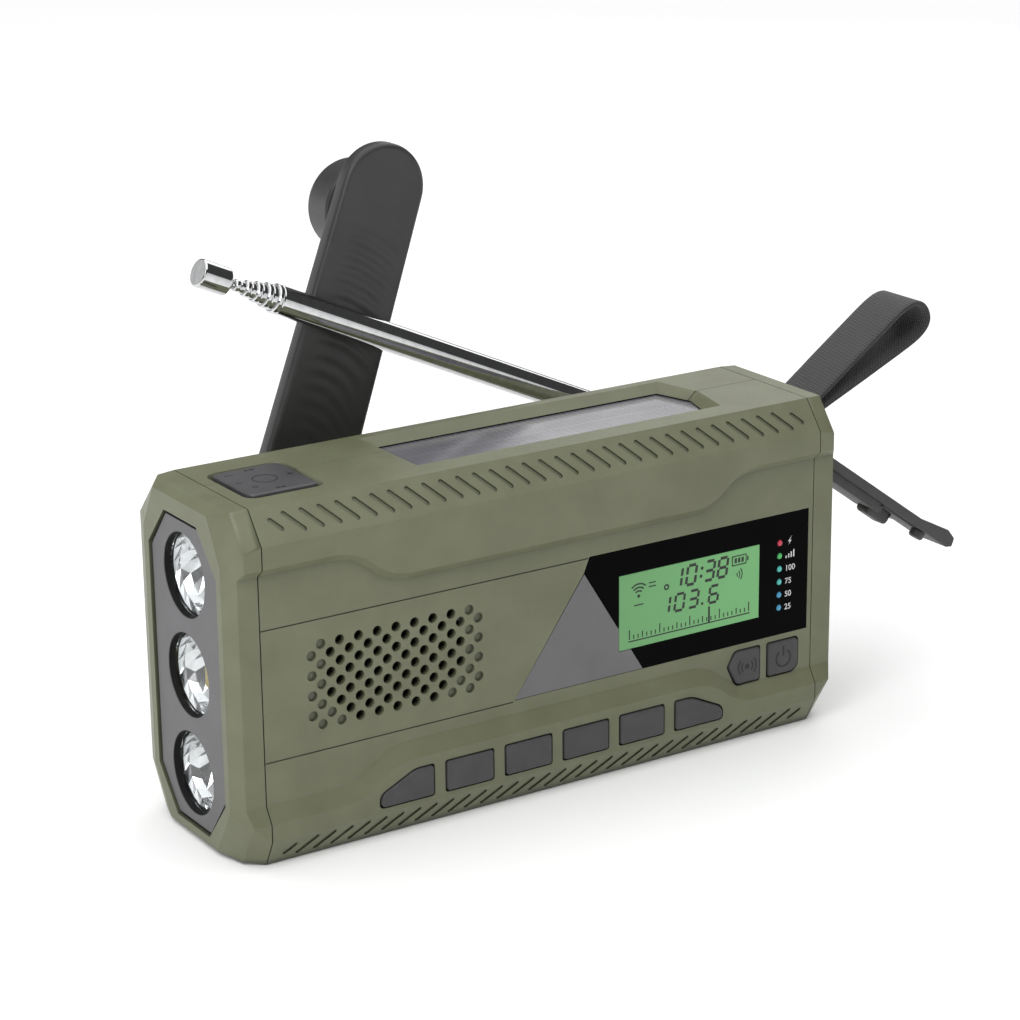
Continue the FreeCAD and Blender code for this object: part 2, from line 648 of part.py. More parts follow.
def make_keys():
    for index in range(6):
        key_piece("function_key_%d" % (index + 1), front - s.key_proud,
                  lambda grow, index=index: key_outline(index, grow))
    key_piece("alarm_key", panel_y - s.key_proud, alarm_outline)
    key_piece("power_key", panel_y - s.key_proud, power_outline)
    contact_face = inside_front + 1.8
    body = plain("key_board", "Y", contact_face, contact_face + 1.2, rectangle(-49.0, 5.0, 48.0, 17.6))
    posts = []
    for gap in range(5):
        posts += circle(s.key_centre + (gap - 2) * s.key_pitch, s.key_bottom + s.key_height / 2, 0.6)
    add(body, "Y", inside_front, contact_face + 0.1, posts)
    body = plain("side_key_board", "Y", contact_face, contact_face + 1.2, rectangle(48.6, 12.1, 72.0, 26.0))
    add(body, "Y", inside_front, contact_face + 0.1, circle(53.0, 25.0, 0.8) + circle(66.0, 25.0, 0.8))
    body = new_body("control_pad")
    add(body, "Z", ceiling - 0.6, top + 0.4, pad_outline(0.0))
    add(body, "Z", ceiling - 1.0, ceiling - 0.2, pad_outline(1.2))
    body = plain("pad_board", "Z", ceiling - 2.8, ceiling - 1.8,
                 rectangle(s.pad_x - 11.5, s.pad_y - 11.4, s.pad_x + 10.5, s.pad_y + 13.0))
    corners = []
    for x, y in ((-10.6, -10.8), (9.9, -10.8), (-10.6, 12.2), (9.9, 12.2)):
        corners += circle(s.pad_x + x, s.pad_y + y, 0.7)
    add(body, "Z", ceiling - 1.9, ceiling, corners)


def make_speaker():
    radius = s.speaker_radius
    rim = inside_front
    depth = s.speaker_depth
    magnet_radius = 9.6
    lip = radius - 2.0
    cone_mouth = lip - 0.5
    body = new_body("speaker_frame")
    frame = [(magnet_radius, rim + depth - 1), (lip, rim + 1.4), (lip, rim), (radius, rim),
             (radius, rim + 2.4), (11.0, rim + depth), (magnet_radius, rim + depth)]
    turn(body, polygon(frame), "Z", "V_Axis")
    place(body, (s.speaker_x, 0, s.speaker_z))
    body = new_body("speaker_cone")
    cone = [(0, rim + 6.6), (4.0, rim + 5.2), (cone_mouth, rim + 0.6), (lip, rim + 0.8),
            (lip, rim + 1.2), (4.4, rim + 6.4), (0, rim + 7.4)]
    turn(body, polygon(cone), "Z", "V_Axis")
    place(body, (s.speaker_x, 0, s.speaker_z))
    body = plain("speaker_magnet", "Y", rim + 7.6, rim + depth + 2.5, circle(0, 0, magnet_radius))
    place(body, (s.speaker_x, 0, s.speaker_z))


# ---- top ---------------------------------------------------------------------------------------

def make_solar():
    panel_top = ceiling - 0.3
    plain("solar_panel", "Z", panel_top - s.solar_thickness, panel_top, solar_outline(s.solar_bevel - 0.2))
    tray_floor = panel_top - s.solar_thickness
    outer = rectangle(s.solar_left - 3.0, -15.0, s.solar_right + 4.6, 13.2)
    body = plain("solar_tray", "Z", tray_floor - 1.4, ceiling, outer)
    cut(body, "Z", tray_floor, ceiling + 1,
        rectangle(s.solar_left + 2.0, -11.0, s.solar_right + 3.0, 11.0))


# ---- torch -------------------------------------------------------------------------------------

def make_torch():
    body = plain("torch_bezel", "X", -bezel_front, -bezel_floor,
                 octagon(s.bezel_half, s.bezel_bottom, s.bezel_top, 0))
    holes = []
    for z in torch_heights:
        holes += circle(0, z, s.lens_radius + 0.15)
    cut(body, "X", -half - 1, -bezel_floor + 1, holes)
    lens_front = half - 2.0
    lens_back = lens_front - s.lens_thickness
    cup_deep = lens_back - 9.0
    led_front = cup_deep + 2.4
    board_face = cup_deep - 0.2
    cups = new_body("torch_reflectors")
    leds = new_body("torch_leds")
    cup_mouth = s.lens_radius - 0.7
    cup_wall = 0.7
    for name, z in zip(("upper", "middle", "lower"), torch_heights):
        lens = plain("torch_lens_" + name, "X", -lens_front, -lens_back, circle(0, 0, s.lens_radius))
        place(lens, (0, 0, z))
        cup = [(-lens_back, cup_mouth), (-lens_back + 3, 7.2), (-lens_back + 6, 5.2), (-board_face, 3.2),
               (-board_face, 3.2 + cup_wall), (-lens_back + 6, 5.2 + cup_wall),
               (-lens_back + 3, 7.2 + cup_wall), (-lens_back, cup_mouth + cup_wall)]
        turn(cups, polygon(cup), "Y", "H_Axis", (0, z))
        if name != "middle":
            led = [(-led_front, 0), (-led_front, 1.2), (-led_front + 0.8, 2.0), (-board_face, 2.0),
                   (-board_face, 0)]
            turn(leds, polygon(led), "Y", "H_Axis", (0, z))
    panel = new_body("torch_floodlight")
    panel_face = cup_deep + 5.4
    add(panel, "X", -panel_face, -panel_face + 1.0, rectangle(-3.9, -5.0, 3.9, 5.0))
    add(panel, "X", -panel_face + 0.8, -board_face, circle(0, 0, 2.2))
    place(panel, (0, 0, torch_heights[1]))
    board = plain("torch_board", "X", -board_face, -board_face + 1.2, rectangle(-13.0, 8.0, 13.0, 70.0))
    posts = []
    for side in (-1, 1):
        for z in (torch_heights[1] - s.torch_pitch / 2, torch_heights[1] + s.torch_pitch / 2):
            posts += circle(side * 11.5, z, 1.2)
    add(board, "X", -cap_inner, -board_face + 0.1, posts)


# ---- inside ------------------------------------------------------------------------------------

def make_inside():
    board = plain("main_board", "Y", board_front, board_front + 1.6, rectangle(-17.0, 6.0, 72.0, 73.0))
    holes = []
    for x, z in boss_points[1::2]:
        holes += circle(x, z, boss_radius + 0.3)
    cut(board, "Y", board_front - 1, board_front + 3, holes)
    cell_end = s.cell_length / 2
    cell = plain("battery_cell", "X", -cell_end, cell_end, circle(s.cell_y, s.cell_z, s.cell_radius))
    place(cell, (-1.5, 0, 0))
    reach = cell_end + 2.0
    cradle = plain("battery_cradle", "X", -reach, reach, rectangle(1.6, s.wall, inside_rear - 2.2, 9.0))
    cut(cradle, "X", -cell_end - 0.4, cell_end + 0.4, circle(s.cell_y, s.cell_z, s.cell_radius + 0.04))
    place(cradle, (-1.5, 0, 0))
    usb = plain("usb_socket", "X", 66.0, seam + 0.6, rectangle(-9.4, s.usb_z - 4.5, board_front, s.usb_z + 4.5))
    cut(usb, "X", 68.0, seam + 2, rounded([(-8.6, s.usb_z - 3.8), (-5.6, s.usb_z - 3.8),
                                                (-5.6, s.usb_z + 3.8), (-8.6, s.usb_z + 3.8)], [1.4] * 4))
    jack = plain("audio_jack", "X", 62.0, seam + 0.6,
                 rectangle(-13.2, s.audio_z - 3.5, board_front, s.audio_z + 3.5))
    cut(jack, "X", 64.0, seam + 2, circle(-10.0, s.audio_z, 1.8))
    screw = new_body("case_screws")
    shanks = []
    heads = []
    for x, z in boss_points:
        shanks += circle(x, z, screw_radius)
        heads += circle(x, z, 2.1)
    add(screw, "Y", split_front - 8, shelf_y - 1.5, shanks)
    add(screw, "Y", shelf_y - 1.6, shelf_y - 0.1, heads)


# ---- crank -------------------------------------------------------------------------------------

def gear_outline(teeth, phase):
    """A spur gear's outline in straight flanks with room for a running mesh."""
    pitch_radius = float(s.gear_module) * teeth / 2
    tip = pitch_radius + 0.75 * float(s.gear_module)
    root = pitch_radius - 1.15 * float(s.gear_module)
    step = 2 * math.pi / teeth
    points = []
    for k in range(teeth):
        for radius, share in ((root, -0.29), (tip, -0.09), (tip, 0.09), (root, 0.29)):
            angle = phase + (k + share) * step
            points.append((radius * math.cos(angle), radius * math.sin(angle)))
    return polygon(points)


def lean(body):
    """Set an upright crank piece at the hub's centre, leaning the way the crank stands."""
    place(body, (s.crank_x, 0, s.crank_z), vec(0, 1, 0), s.crank_lean)


def make_crank():
    shaft = 3.0
    gear_back = hub_floor - tub_wall - 0.6
    gear_front = gear_back - s.gear_width
    plate_back = gear_front - 0.4
    body = new_body("crank_hub")
    add(body, "Y", hub_floor + 0.3, hub_floor + 2.7, circle(0, 0, s.hub_radius))
    add(body, "Y", gear_front - 1.6, hub_floor + 0.4, circle(0, 0, shaft))
    lug_low = s.fold_offset - s.lug_radius
    lug_high = s.fold_offset + s.lug_radius
    for a, b in ((-7.6, -5.1), (5.1, 7.6)):
        add(body, "Y", hub_floor + 2.6, fold_y, rectangle(a, lug_low, b, lug_high))
        add(body, "X", a, b, circle(fold_y, s.fold_offset, s.lug_radius))
    cut(body, "X", -9, 9, circle(fold_y, s.fold_offset, s.fold_pin))
    lean(body)
    pin = plain("fold_pin", "X", -7.5, 7.5, circle(fold_y, s.fold_offset, s.fold_pin))
    lean(pin)
    arm_back = arm_front + s.arm_thickness
    arm = new_body("crank_arm")
    root = float(s.fold_offset) + 3.5
    reach = float(s.arm_reach)
    tip = float(s.arm_tip_radius)
    wide = float(s.arm_root_half)
    outline = [Part.LineSegment(vec(-wide, root, 0), vec(wide, root, 0)),
               Part.LineSegment(vec(wide, root, 0), vec(tip, reach, 0)),
               Part.Arc(vec(tip, reach, 0), vec(0, reach + tip, 0), vec(-tip, reach, 0)),
               Part.LineSegment(vec(-tip, reach, 0), vec(-wide, root, 0))]
    add(arm, "Y", arm_front, arm_back, outline)
    add(arm, "X", -4.8, 4.8, circle(fold_y, s.fold_offset, s.lug_radius))
    add(arm, "X", -4.8, 4.8, rectangle(fold_y - 0.4, s.fold_offset, arm_back, s.fold_offset + 4.5))
    cut(arm, "X", -6, 6, circle(fold_y, s.fold_offset, s.fold_pin + s.running_gap))
    lean(arm)
    stud = s.knob_bore - s.running_gap
    knob_front = arm_back + 0.3
    knob_back = knob_front + s.knob_length
    post = new_body("knob_stud")
    add(post, "Y", arm_back, knob_back - 1.8, circle(0, s.knob_reach, stud))
    add(post, "Y", knob_back - 1.9, knob_back - 0.5, circle(0, s.knob_reach, 4.0))
    lean(post)
    knob = plain("crank_knob", "Y", knob_front, knob_back, circle(0, s.knob_reach, s.knob_radius))
    cut(knob, "Y", knob_front - 1, knob_back, circle(0, s.knob_reach, s.knob_bore))
    cut(knob, "Y", knob_back - 2.2, knob_back + 1, circle(0, s.knob_reach, 4.3))
    lean(knob)
    gear = plain("drive_gear", "Y", gear_front, gear_back, gear_outline(int(s.gear_teeth), math.pi / 2))
    cut(gear, "Y", gear_front - 1, gear_back + 1, circle(0, 0, shaft))
    place(gear, (s.crank_x, 0, s.crank_z))
    distance = s.gear_module * (s.gear_teeth + s.pinion_teeth) / 2
    pinion_z = s.crank_z + distance
    half_tooth = math.pi / int(s.pinion_teeth)
    pinion = plain("dynamo_pinion", "Y", gear_front, gear_back,
                   gear_outline(int(s.pinion_teeth), -math.pi / 2 + half_tooth))
    add(pinion, "Y", 5.0, gear_front + 0.1, circle(0, 0, 1.0))
    place(pinion, (s.crank_x, 0, pinion_z))
    plate_front = plate_back - 1.2
    dynamo = plain("dynamo", "Y", -1.8, plate_front, circle(0, 0, 10.0))
    cut(dynamo, "Y", 4.5, plate_front + 1, circle(0, 0, 1.0 + s.running_gap))
    place(dynamo, (s.crank_x, 0, pinion_z))
    reach = 14.5
    plate = plain("gear_plate", "Y", plate_front, plate_back, polygon([
        (s.crank_x - reach, s.crank_z - reach), (s.crank_x + reach, s.crank_z - reach),
        (s.crank_x + reach, s.crank_z + 22.0), (s.crank_x + 8.0, s.crank_z + 29.0),
        (s.crank_x - reach, s.crank_z + 29.0)]))
    cut(plate, "Y", plate_front - 1, plate_back + 1,
        circle(s.crank_x, s.crank_z, shaft + s.running_gap) + circle(s.crank_x, pinion_z, 1.6))
    posts = []
    for x, z in ((-12.6, -12.6), (12.6, -12.6)):
        posts += circle(s.crank_x + x, s.crank_z + z, 1.1)
    add(plate, "Y", plate_back - 0.1, hub_floor - tub_wall, posts)


# ---- aerial ------------------------------------------------------------------------------------

def make_aerial():
    root = 1.5
    base = (s.aerial_x, aerial_y, s.aerial_z)
    upright = vec(0, 1, 0)
    knuckle = new_body("aerial_knuckle")
    head_front = shelf_y + 0.35 - aerial_y
    head_back = s.aerial_radius + 0.3
    add(knuckle, "Y", head_front, head_back, circle(0, 0, s.knuckle_radius))
    add(knuckle, "Y", head_front - 5.6, head_front + 0.1, circle(0, 0, 2.4))
    add(knuckle, "Y", head_front - 5.6, head_front - 3.2, circle(0, 0, 3.6))
    cut(knuckle, "Z", root, 12.0, circle(0, 0, s.aerial_radius))
    place(knuckle, base, upright, -s.aerial_lean)
    radius = s.aerial_radius
    start = Size(root)
    finish = s.aerial_tube
    names = ["aerial_tube", "aerial_section_1", "aerial_section_2", "aerial_section_3", "aerial_section_4"]
    for level, name in enumerate(names):
        tube = plain(name, "Z", start, finish, circle(0, 0, radius))
        bore = radius - s.aerial_step + s.aerial_wall_gap
        cut(tube, "Z", start - 1, finish + 1, circle(0, 0, bore))
        place(tube, base, upright, -s.aerial_lean)
        radius = radius - s.aerial_step
        start = Size(12.0 + 2.0 * level)
        finish = finish + s.aerial_show
    rod = plain("aerial_rod", "Z", 24.0, s.aerial_tip_start, circle(0, 0, radius))
    place(rod, base, upright, -s.aerial_lean)
    tip = plain("aerial_tip", "Z", s.aerial_tip_start, s.aerial_tip_start + s.aerial_tip_length,
                circle(0, 0, s.aerial_tip_radius))
    place(tip, base, upright, -s.aerial_lean)


# ---- wrist strap and socket cover --------------------------------------------------------------

def belt(first, first_radius, second, second_radius):
    """The outline of a belt pulled tight round two circles."""
    across = second - first
    length = across.Length
    heading = math.atan2(across.y, across.x)
    spread = math.acos((first_radius - second_radius) / length)
    points = []
    for centre, radius, mid_angle in ((first, first_radius, math.pi), (second, second_radius, 0.0)):
        for angle in (spread, mid_angle, -spread):
            a = heading + angle
            points.append(centre + vec(math.cos(a), math.sin(a), 0) * radius)
    return [Part.Arc(points[0], points[1], points[2]), Part.LineSegment(points[2], points[5]),
            Part.Arc(points[5], points[4], points[3]), Part.LineSegment(points[3], points[0])]


def make_strap():
    bar = vec(strap_x, s.strap_z, 0)
    loop_end = vec(strap_end_x, s.strap_end_z, 0)
    inner = float(s.strap_pin) + 0.35
    end_radius = float(s.strap_end_radius)
    thick = float(s.strap_thickness)
    low = s.strap_y - s.strap_width / 2
    high = s.strap_y + s.strap_width / 2
    strap = plain("wrist_strap", "Y", low, high, belt(bar, inner + thick, loop_end, end_radius))
    cut(strap, "Y", low - 1, high + 1, belt(bar, inner, loop_end, end_radius - thick))
    plain("strap_bar", "Y", s.strap_y - 8.2, s.strap_y + 8.5, circle(strap_x, s.strap_z, s.strap_pin))


def make_flap():
    base = (flap_x, s.flap_y, s.flap_z)
    side = s.flap_width / 2
    barrel = float(s.flap_barrel)
    plate_in = barrel - float(s.flap_thickness)
    band_in = plate_in - float(s.flap_band)
    tip = -float(s.flap_length)
    knee = tip + 13.5
    usb_drop = s.usb_z - s.flap_z
    cover = new_body("port_cover")
    plate = [(barrel, 0), (barrel, knee), (barrel + 1.5, tip + 3.5), (barrel + 0.6, tip + 0.5),
             (plate_in + 0.9, tip), (plate_in, tip + 1.5), (plate_in, 0)]
    add(cover, "Y", -side, side, polygon(plate))
    add(cover, "Y", -side, side, circle(0, 0, barrel))
    add(cover, "Y", -side + 1.1, side - 1.1, rectangle(band_in, usb_drop + 2.0, plate_in + 0.3, -3.0))
    add(cover, "Y", -side + 1.1, side - 1.1,
        rectangle(plate_in - 0.5, knee + 0.4, plate_in + 0.3, usb_drop + 2.1))
    add(cover, "Y", -2.3, 2.1, rectangle(plate_in - 3.6, usb_drop - 4.0, plate_in + 0.2, usb_drop + 4.0))
    add(cover, "X", plate_in - 2.0, plate_in + 0.2, circle(-3.0, s.audio_z - s.flap_z, 1.9))
    cut(cover, "Y", -side - 1, side + 1, circle(0, 0, 0.8 + s.running_gap))
    place(cover, base, vec(0, 1, 0), -s.flap_open)
    pin = plain("flap_pin", "Y", -side - 1.4, side + 1.0, circle(0, 0, 0.8))
    place(pin, base)


make_front_shell()
make_rear_shell()
make_caps()
make_display()
make_keys()
make_speaker()
make_solar()
make_torch()
make_inside()
make_crank()
make_aerial()
make_strap()
make_flap()
doc.recompute()

os.makedirs("parts", exist_ok=True)
for item in doc.Objects:
    if "Invalid" in item.State or "Error" in item.State:
        raise RuntimeError("%s is in state %s" % (item.Label, item.State))
for body in finished:
    shape = body.Shape
    if shape.isNull() or not shape.isValid() or not shape.Solids:
        raise RuntimeError(body.Label + " has no valid solid")
    shape.exportStep("parts/%s.step" % body.Label)
    box = shape.BoundBox
    print("%-24s %d solids %9.1f mm3  x %.1f %.1f  y %.1f %.1f  z %.1f %.1f" % (
        body.Label, len(shape.Solids), shape.Volume,
        box.XMin, box.XMax, box.YMin, box.YMax, box.ZMin, box.ZMax))
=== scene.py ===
import math

import bmesh
import bpy
import numpy as np
from mathutils import Matrix, Vector


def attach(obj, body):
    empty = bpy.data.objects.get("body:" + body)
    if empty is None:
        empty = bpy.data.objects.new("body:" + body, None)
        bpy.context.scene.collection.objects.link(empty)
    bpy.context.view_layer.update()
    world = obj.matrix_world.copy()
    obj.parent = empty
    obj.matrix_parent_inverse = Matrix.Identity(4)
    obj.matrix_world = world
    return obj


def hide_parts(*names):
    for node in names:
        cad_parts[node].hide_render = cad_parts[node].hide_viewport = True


# Hand-crank emergency radio: finishes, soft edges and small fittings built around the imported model.
# Lengths are millimetres until mm turns them into Blender's metres.
# +X runs along the case from the torch to the sockets, the front panel faces -Y, +Z is up.

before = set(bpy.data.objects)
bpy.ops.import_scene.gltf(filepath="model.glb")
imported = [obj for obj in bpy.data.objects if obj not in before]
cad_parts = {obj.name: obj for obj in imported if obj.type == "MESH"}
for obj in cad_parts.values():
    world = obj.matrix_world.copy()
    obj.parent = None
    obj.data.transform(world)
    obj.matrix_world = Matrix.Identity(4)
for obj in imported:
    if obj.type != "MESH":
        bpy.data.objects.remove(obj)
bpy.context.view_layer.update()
mm = 0.001

# ---- sizes and places ----------------------------------------------------------------------------

panel_y = -22.2
crank_x, crank_z, crank_lean = -42.8, 40.0, math.radians(19.3)
fold_reach, fold_y = 11.5, 27.1
arm_front, arm_back = 29.0, 33.6
arm_root, arm_reach, arm_half, arm_tip = 15.0, 97.0, 12.3, 10.6
knob_reach, knob_length = 91.5, 9.6
aerial_foot = np.array([63.4, 25.2, 63.5])
aerial_lean = math.radians(65.5)
aerial_way = np.array([-math.sin(aerial_lean), 0.0, math.cos(aerial_lean)])
# Each telescopic section: its node, its body, where it starts and ends along the aerial, and its radius.
aerial_sections = [("aerial_tube", "aerial_base", 1.5, 116.6, 3.4),
                   ("aerial_section_1", "aerial_1", 12, 119.2, 2.9),
                   ("aerial_section_2", "aerial_2", 14, 121.8, 2.4),
                   ("aerial_section_3", "aerial_3", 16, 124.4, 1.9),
                   ("aerial_section_4", "aerial_4", 18, 127.0, 1.4)]
torch_heights = {"upper": 61.3, "middle": 38.4, "lower": 15.5}
lens_face = -78.4
strap_foot, strap_end = np.array([79.0, 61.7]), np.array([123.6, 87.0])
strap_y, strap_width, strap_thickness = 8.1, 14.4, 1.2
flap_hinge, flap_y, flap_width, flap_swing = np.array([80.0, 64.6]), -7.0, 11.8, math.radians(54)
lcd_low, lcd_high, lcd_y = (18.2, 29.7), (58.1, 47.7), panel_y + 0.05
# How far the olive case's painted crease shade looks for nearby surfaces, in millimetres.
crease_shade_reach = 2.0
strap_rib, strap_weft, cloth_thread, cell_finger, bus_pitch = 0.8, 0.9, 0.7, 0.9, 5.0
rib_pitch = 3.6
camera_roll = -0.64
horizon, sky_dim, sky_bright, sky_strength = 0.52, 0.04, 1.06, 1.55


# ---- surfaces ------------------------------------------------------------------------------------

def grid_faces(rows, columns, wrap_rows=False, wrap_columns=True):
    """Quads of a grid: each joins a point to its neighbours one row and one column on."""
    r, c = np.meshgrid(np.arange(rows if wrap_rows else rows - 1),
                       np.arange(columns if wrap_columns else columns - 1), indexing="ij")
    down, along = (r + 1) % rows, (c + 1) % columns
    corners = [r * columns + c, r * columns + along, down * columns + along, down * columns + c]
    return np.stack(corners, axis=-1).reshape(-1, 4)


def placed(name, data):
    """A new object around its data, linked into the scene."""
    piece = bpy.data.objects.new(name, data)
    bpy.context.scene.collection.objects.link(piece)
    return piece


def skin(name, grid, wrap_rows=False, wrap_columns=True, uv=None, smooth=True):
    """A mesh through a rows x columns x 3 grid of points in millimetres, poles merged and faces outward."""
    rows, columns = grid.shape[:2]
    faces = grid_faces(rows, columns, wrap_rows, wrap_columns)
    mesh = bpy.data.meshes.new(name)
    mesh.from_pydata((grid.reshape(-1, 3) * mm).tolist(), [], faces.tolist())
    if uv is not None:
        layer = mesh.uv_layers.new(name="strip")
        r, c = np.divmod(np.arange(len(faces)), columns if wrap_columns else columns - 1)
        u, v = uv
        corner_u = np.stack([u[r], u[r], u[r + 1], u[r + 1]], axis=-1)
        corner_v = np.stack([v[c], v[c + 1], v[c + 1], v[c]], axis=-1)
        layer.data.foreach_set("uv", np.stack([corner_u, corner_v], axis=-1).astype(np.float32).ravel())
    work = bmesh.new()
    work.from_mesh(mesh)
    bmesh.ops.remove_doubles(work, verts=work.verts, dist=2e-7)
    bmesh.ops.dissolve_degenerate(work, edges=work.edges, dist=1e-7)
    bmesh.ops.recalc_face_normals(work, faces=work.faces)
    work.to_mesh(mesh)
    work.free()
    mesh.polygons.foreach_set("use_smooth", np.full(len(mesh.polygons), smooth))
    return placed(name, mesh)


def rounded_outline(corners, radii, steps=7):
    """A polygon's outline, anticlockwise, with corner k swept by an arc of radius radii[k]."""
    corners = np.asarray(corners, float)
    path = []
    for before, here, after, radius in zip(np.roll(corners, 1, 0), corners, np.roll(corners, -1, 0), radii):
        back, ahead = (before - here), (after - here)
        back, ahead = back / np.linalg.norm(back), ahead / np.linalg.norm(ahead)
        if radius == 0:
            path.append(here[None])
            continue
        half_angle = math.acos(float(np.clip(back @ ahead, -1, 1))) / 2
        middle = (back + ahead) / np.linalg.norm(back + ahead)
        centre = here + middle * radius / math.sin(half_angle)
        start = here + back * radius / math.tan(half_angle) - centre
        sweep = math.pi - 2 * half_angle
        turn = math.copysign(1, back[0] * ahead[1] - back[1] * ahead[0])
        angles = -turn * sweep * np.linspace(0, 1, steps)
        path.append(centre + np.stack([start[0] * np.cos(angles) - start[1] * np.sin(angles),
                                       start[0] * np.sin(angles) + start[1] * np.cos(angles)], axis=-1))
    return np.concatenate(path)


def even(path, spacing):
    """A closed path resampled so that no two neighbours are further apart than the spacing."""
    ahead = np.roll(path, -1, 0)
    counts = np.maximum(1, np.ceil(np.linalg.norm(ahead - path, axis=1) / spacing)).astype(int)
    start = np.repeat(path, counts, axis=0)
    step = np.repeat(ahead - path, counts, axis=0)
    share = np.concatenate([np.arange(n) / n for n in counts])
    return start + step * share[:, None]


def inset(path, distance):
    """Each point of an anticlockwise path moved inward along the mean normal of its two edges."""
    ahead = np.roll(path, -1, 0) - path
    ahead = ahead / np.linalg.norm(ahead, axis=1, keepdims=True)
    normal = np.stack([-ahead[:, 1], ahead[:, 0]], axis=-1)
    both = normal + np.roll(normal, 1, 0)
    both = both / np.maximum(np.sum(both * both, axis=1, keepdims=True), 0.6) * 2
    return path + both * distance


def lifted(flat, height):
    """A flat outline's points, each with the height as its third number."""
    return np.column_stack([flat, np.full(len(flat), height)])


def plate(outline, low, high, edge, spine=None, rings=3):
    """A slab's grid of (a, b, height): edges are quarter circles, each face closes on a spine.

    Ring k of an edge is the outline inset by edge (1 - sin t) at height edge (1 - cos t) from the face,
    and a face ring is the inset outline drawn a share of the way to the nearest point of the spine.
    """
    spine = np.asarray([outline.mean(0)] * 2 if spine is None else spine, float)
    rim = inset(outline, edge)
    along = spine[1] - spine[0]
    share = np.clip(((rim - spine[0]) @ along) / max(float(along @ along), 1e-9), 0, 1)
    middle = spine[0] + share[:, None] * along
    face = [0.02] + [(k + 1) / (rings + 1) for k in range(rings)] + [1.0]
    turns = np.linspace(0, math.pi / 2, 5)
    grid = [lifted(rim * (1 - t) + middle * t, low) for t in reversed(face)]
    rounds = [(inset(outline, edge * (1 - math.sin(t))), edge * (1 - math.cos(t))) for t in turns]
    grid += [lifted(flat, low + rise) for flat, rise in rounds]
    grid += [lifted(flat, high - rise) for flat, rise in reversed(rounds)]
    grid += [lifted(rim * (1 - t) + middle * t, high) for t in face]
    return np.stack(grid)


def ring_wall(outer, inner, low, high):
    """A flat ring's grid between two outlines with as many points each, closed on itself by rows."""
    return np.stack([lifted(outer, low), lifted(outer, high), lifted(inner, high), lifted(inner, low)])


def laid(grid, origin, a_way, b_way, height_way):
    """A grid of (a, b, height) set at an origin along three directions."""
    ways = np.array([a_way, b_way, height_way], float)
    return np.asarray(origin, float) + grid @ ways


def held(profile):
    """An open (s, r) profile with more points a hair either side of each corner, so its flats shade flat."""
    points = [profile[0]]
    for (s0, r0), (s1, r1) in zip(profile, profile[1:]):
        span = math.hypot(s1 - s0, r1 - r0)
        if span > 0.3:
            hair = 0.05 / span
            points += [(s0 + (s1 - s0) * t, r0 + (r1 - r0) * t) for t in (hair, 1 - hair)]
        points.append((s1, r1))
    return points


def turned(profile, origin, way, segments=72):
    """A surface of revolution: origin + s way + r (u cos t + v sin t) for each (s, r) of the profile."""
    way = np.asarray(way, float)
    u = np.cross(way, [0.0, 1.0, 0.0] if abs(way[1]) < 0.9 else [1.0, 0.0, 0.0])
    u = u / np.linalg.norm(u)
    v = np.cross(way, u)
    t = np.linspace(0, 2 * math.pi, segments, endpoint=False)
    round_trip = np.cos(t)[:, None] * u + np.sin(t)[:, None] * v
    s, r = np.asarray(held(profile), float).T
    return np.asarray(origin, float) + s[:, None, None] * way + r[:, None, None] * round_trip


def set_down(piece, material, body, replaces=()):
    """Give a piece its finish, its body and the CAD nodes that it stands for."""
    piece.data.materials.clear()
    piece.data.materials.append(material)
    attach(piece, body)
    if replaces:
        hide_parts(*replaces)
    return piece


FRONT = dict(a_way=(1, 0, 0), b_way=(0, 0, 1), height_way=(0, -1, 0))
TOP = dict(a_way=(1, 0, 0), b_way=(0, 1, 0), height_way=(0, 0, 1))
TORCH = dict(a_way=(0, 1, 0), b_way=(0, 0, 1), height_way=(-1, 0, 0))
CRANK = dict(a_way=(math.cos(crank_lean), 0, -math.sin(crank_lean)),
             b_way=(math.sin(crank_lean), 0, math.cos(crank_lean)), height_way=(0, -1, 0))
hub = np.array([crank_x, 0.0, crank_z])


# ---- finishes ------------------------------------------------------------------------------------

def linear(hex_colour):
    """An sRGB hex colour as linear red, green, blue and 1."""
    channels = [int(hex_colour[i:i + 2], 16) / 255 for i in (1, 3, 5)]
    return tuple(c / 12.92 if c <= 0.04045 else ((c + 0.055) / 1.055) ** 2.4 for c in channels) + (1.0,)


def new_finish(name):
    """A fresh material, its node tree and its Principled shader."""
    material = bpy.data.materials.new(name)
    material.use_nodes = True
    tree = material.node_tree
    shader = next(n for n in tree.nodes if n.type == "BSDF_PRINCIPLED")
    return material, tree, shader


def node(tree, kind, settings=None, inputs=None):
    """Add a node; inputs are values or the output sockets to link, by name or number."""
    made = tree.nodes.new(kind)
    for key, value in (settings or {}).items():
        setattr(made, key, value)
    for key, value in (inputs or {}).items():
        socket = made.inputs[key]
        if isinstance(value, bpy.types.NodeSocket):
            tree.links.new(value, socket)
        else:
            socket.default_value = value
    return made


def tune(shader, values):
    """Set a shader's own inputs by name."""
    for key, value in values.items():
        shader.inputs[key].default_value = value


def wave_scale(spacing_mm):
    """The wave texture's scale for a spacing: its bands turn 20 radians per unit, so 2 pi / 20 over it."""
    return 2 * math.pi / 20 / (spacing_mm * mm)


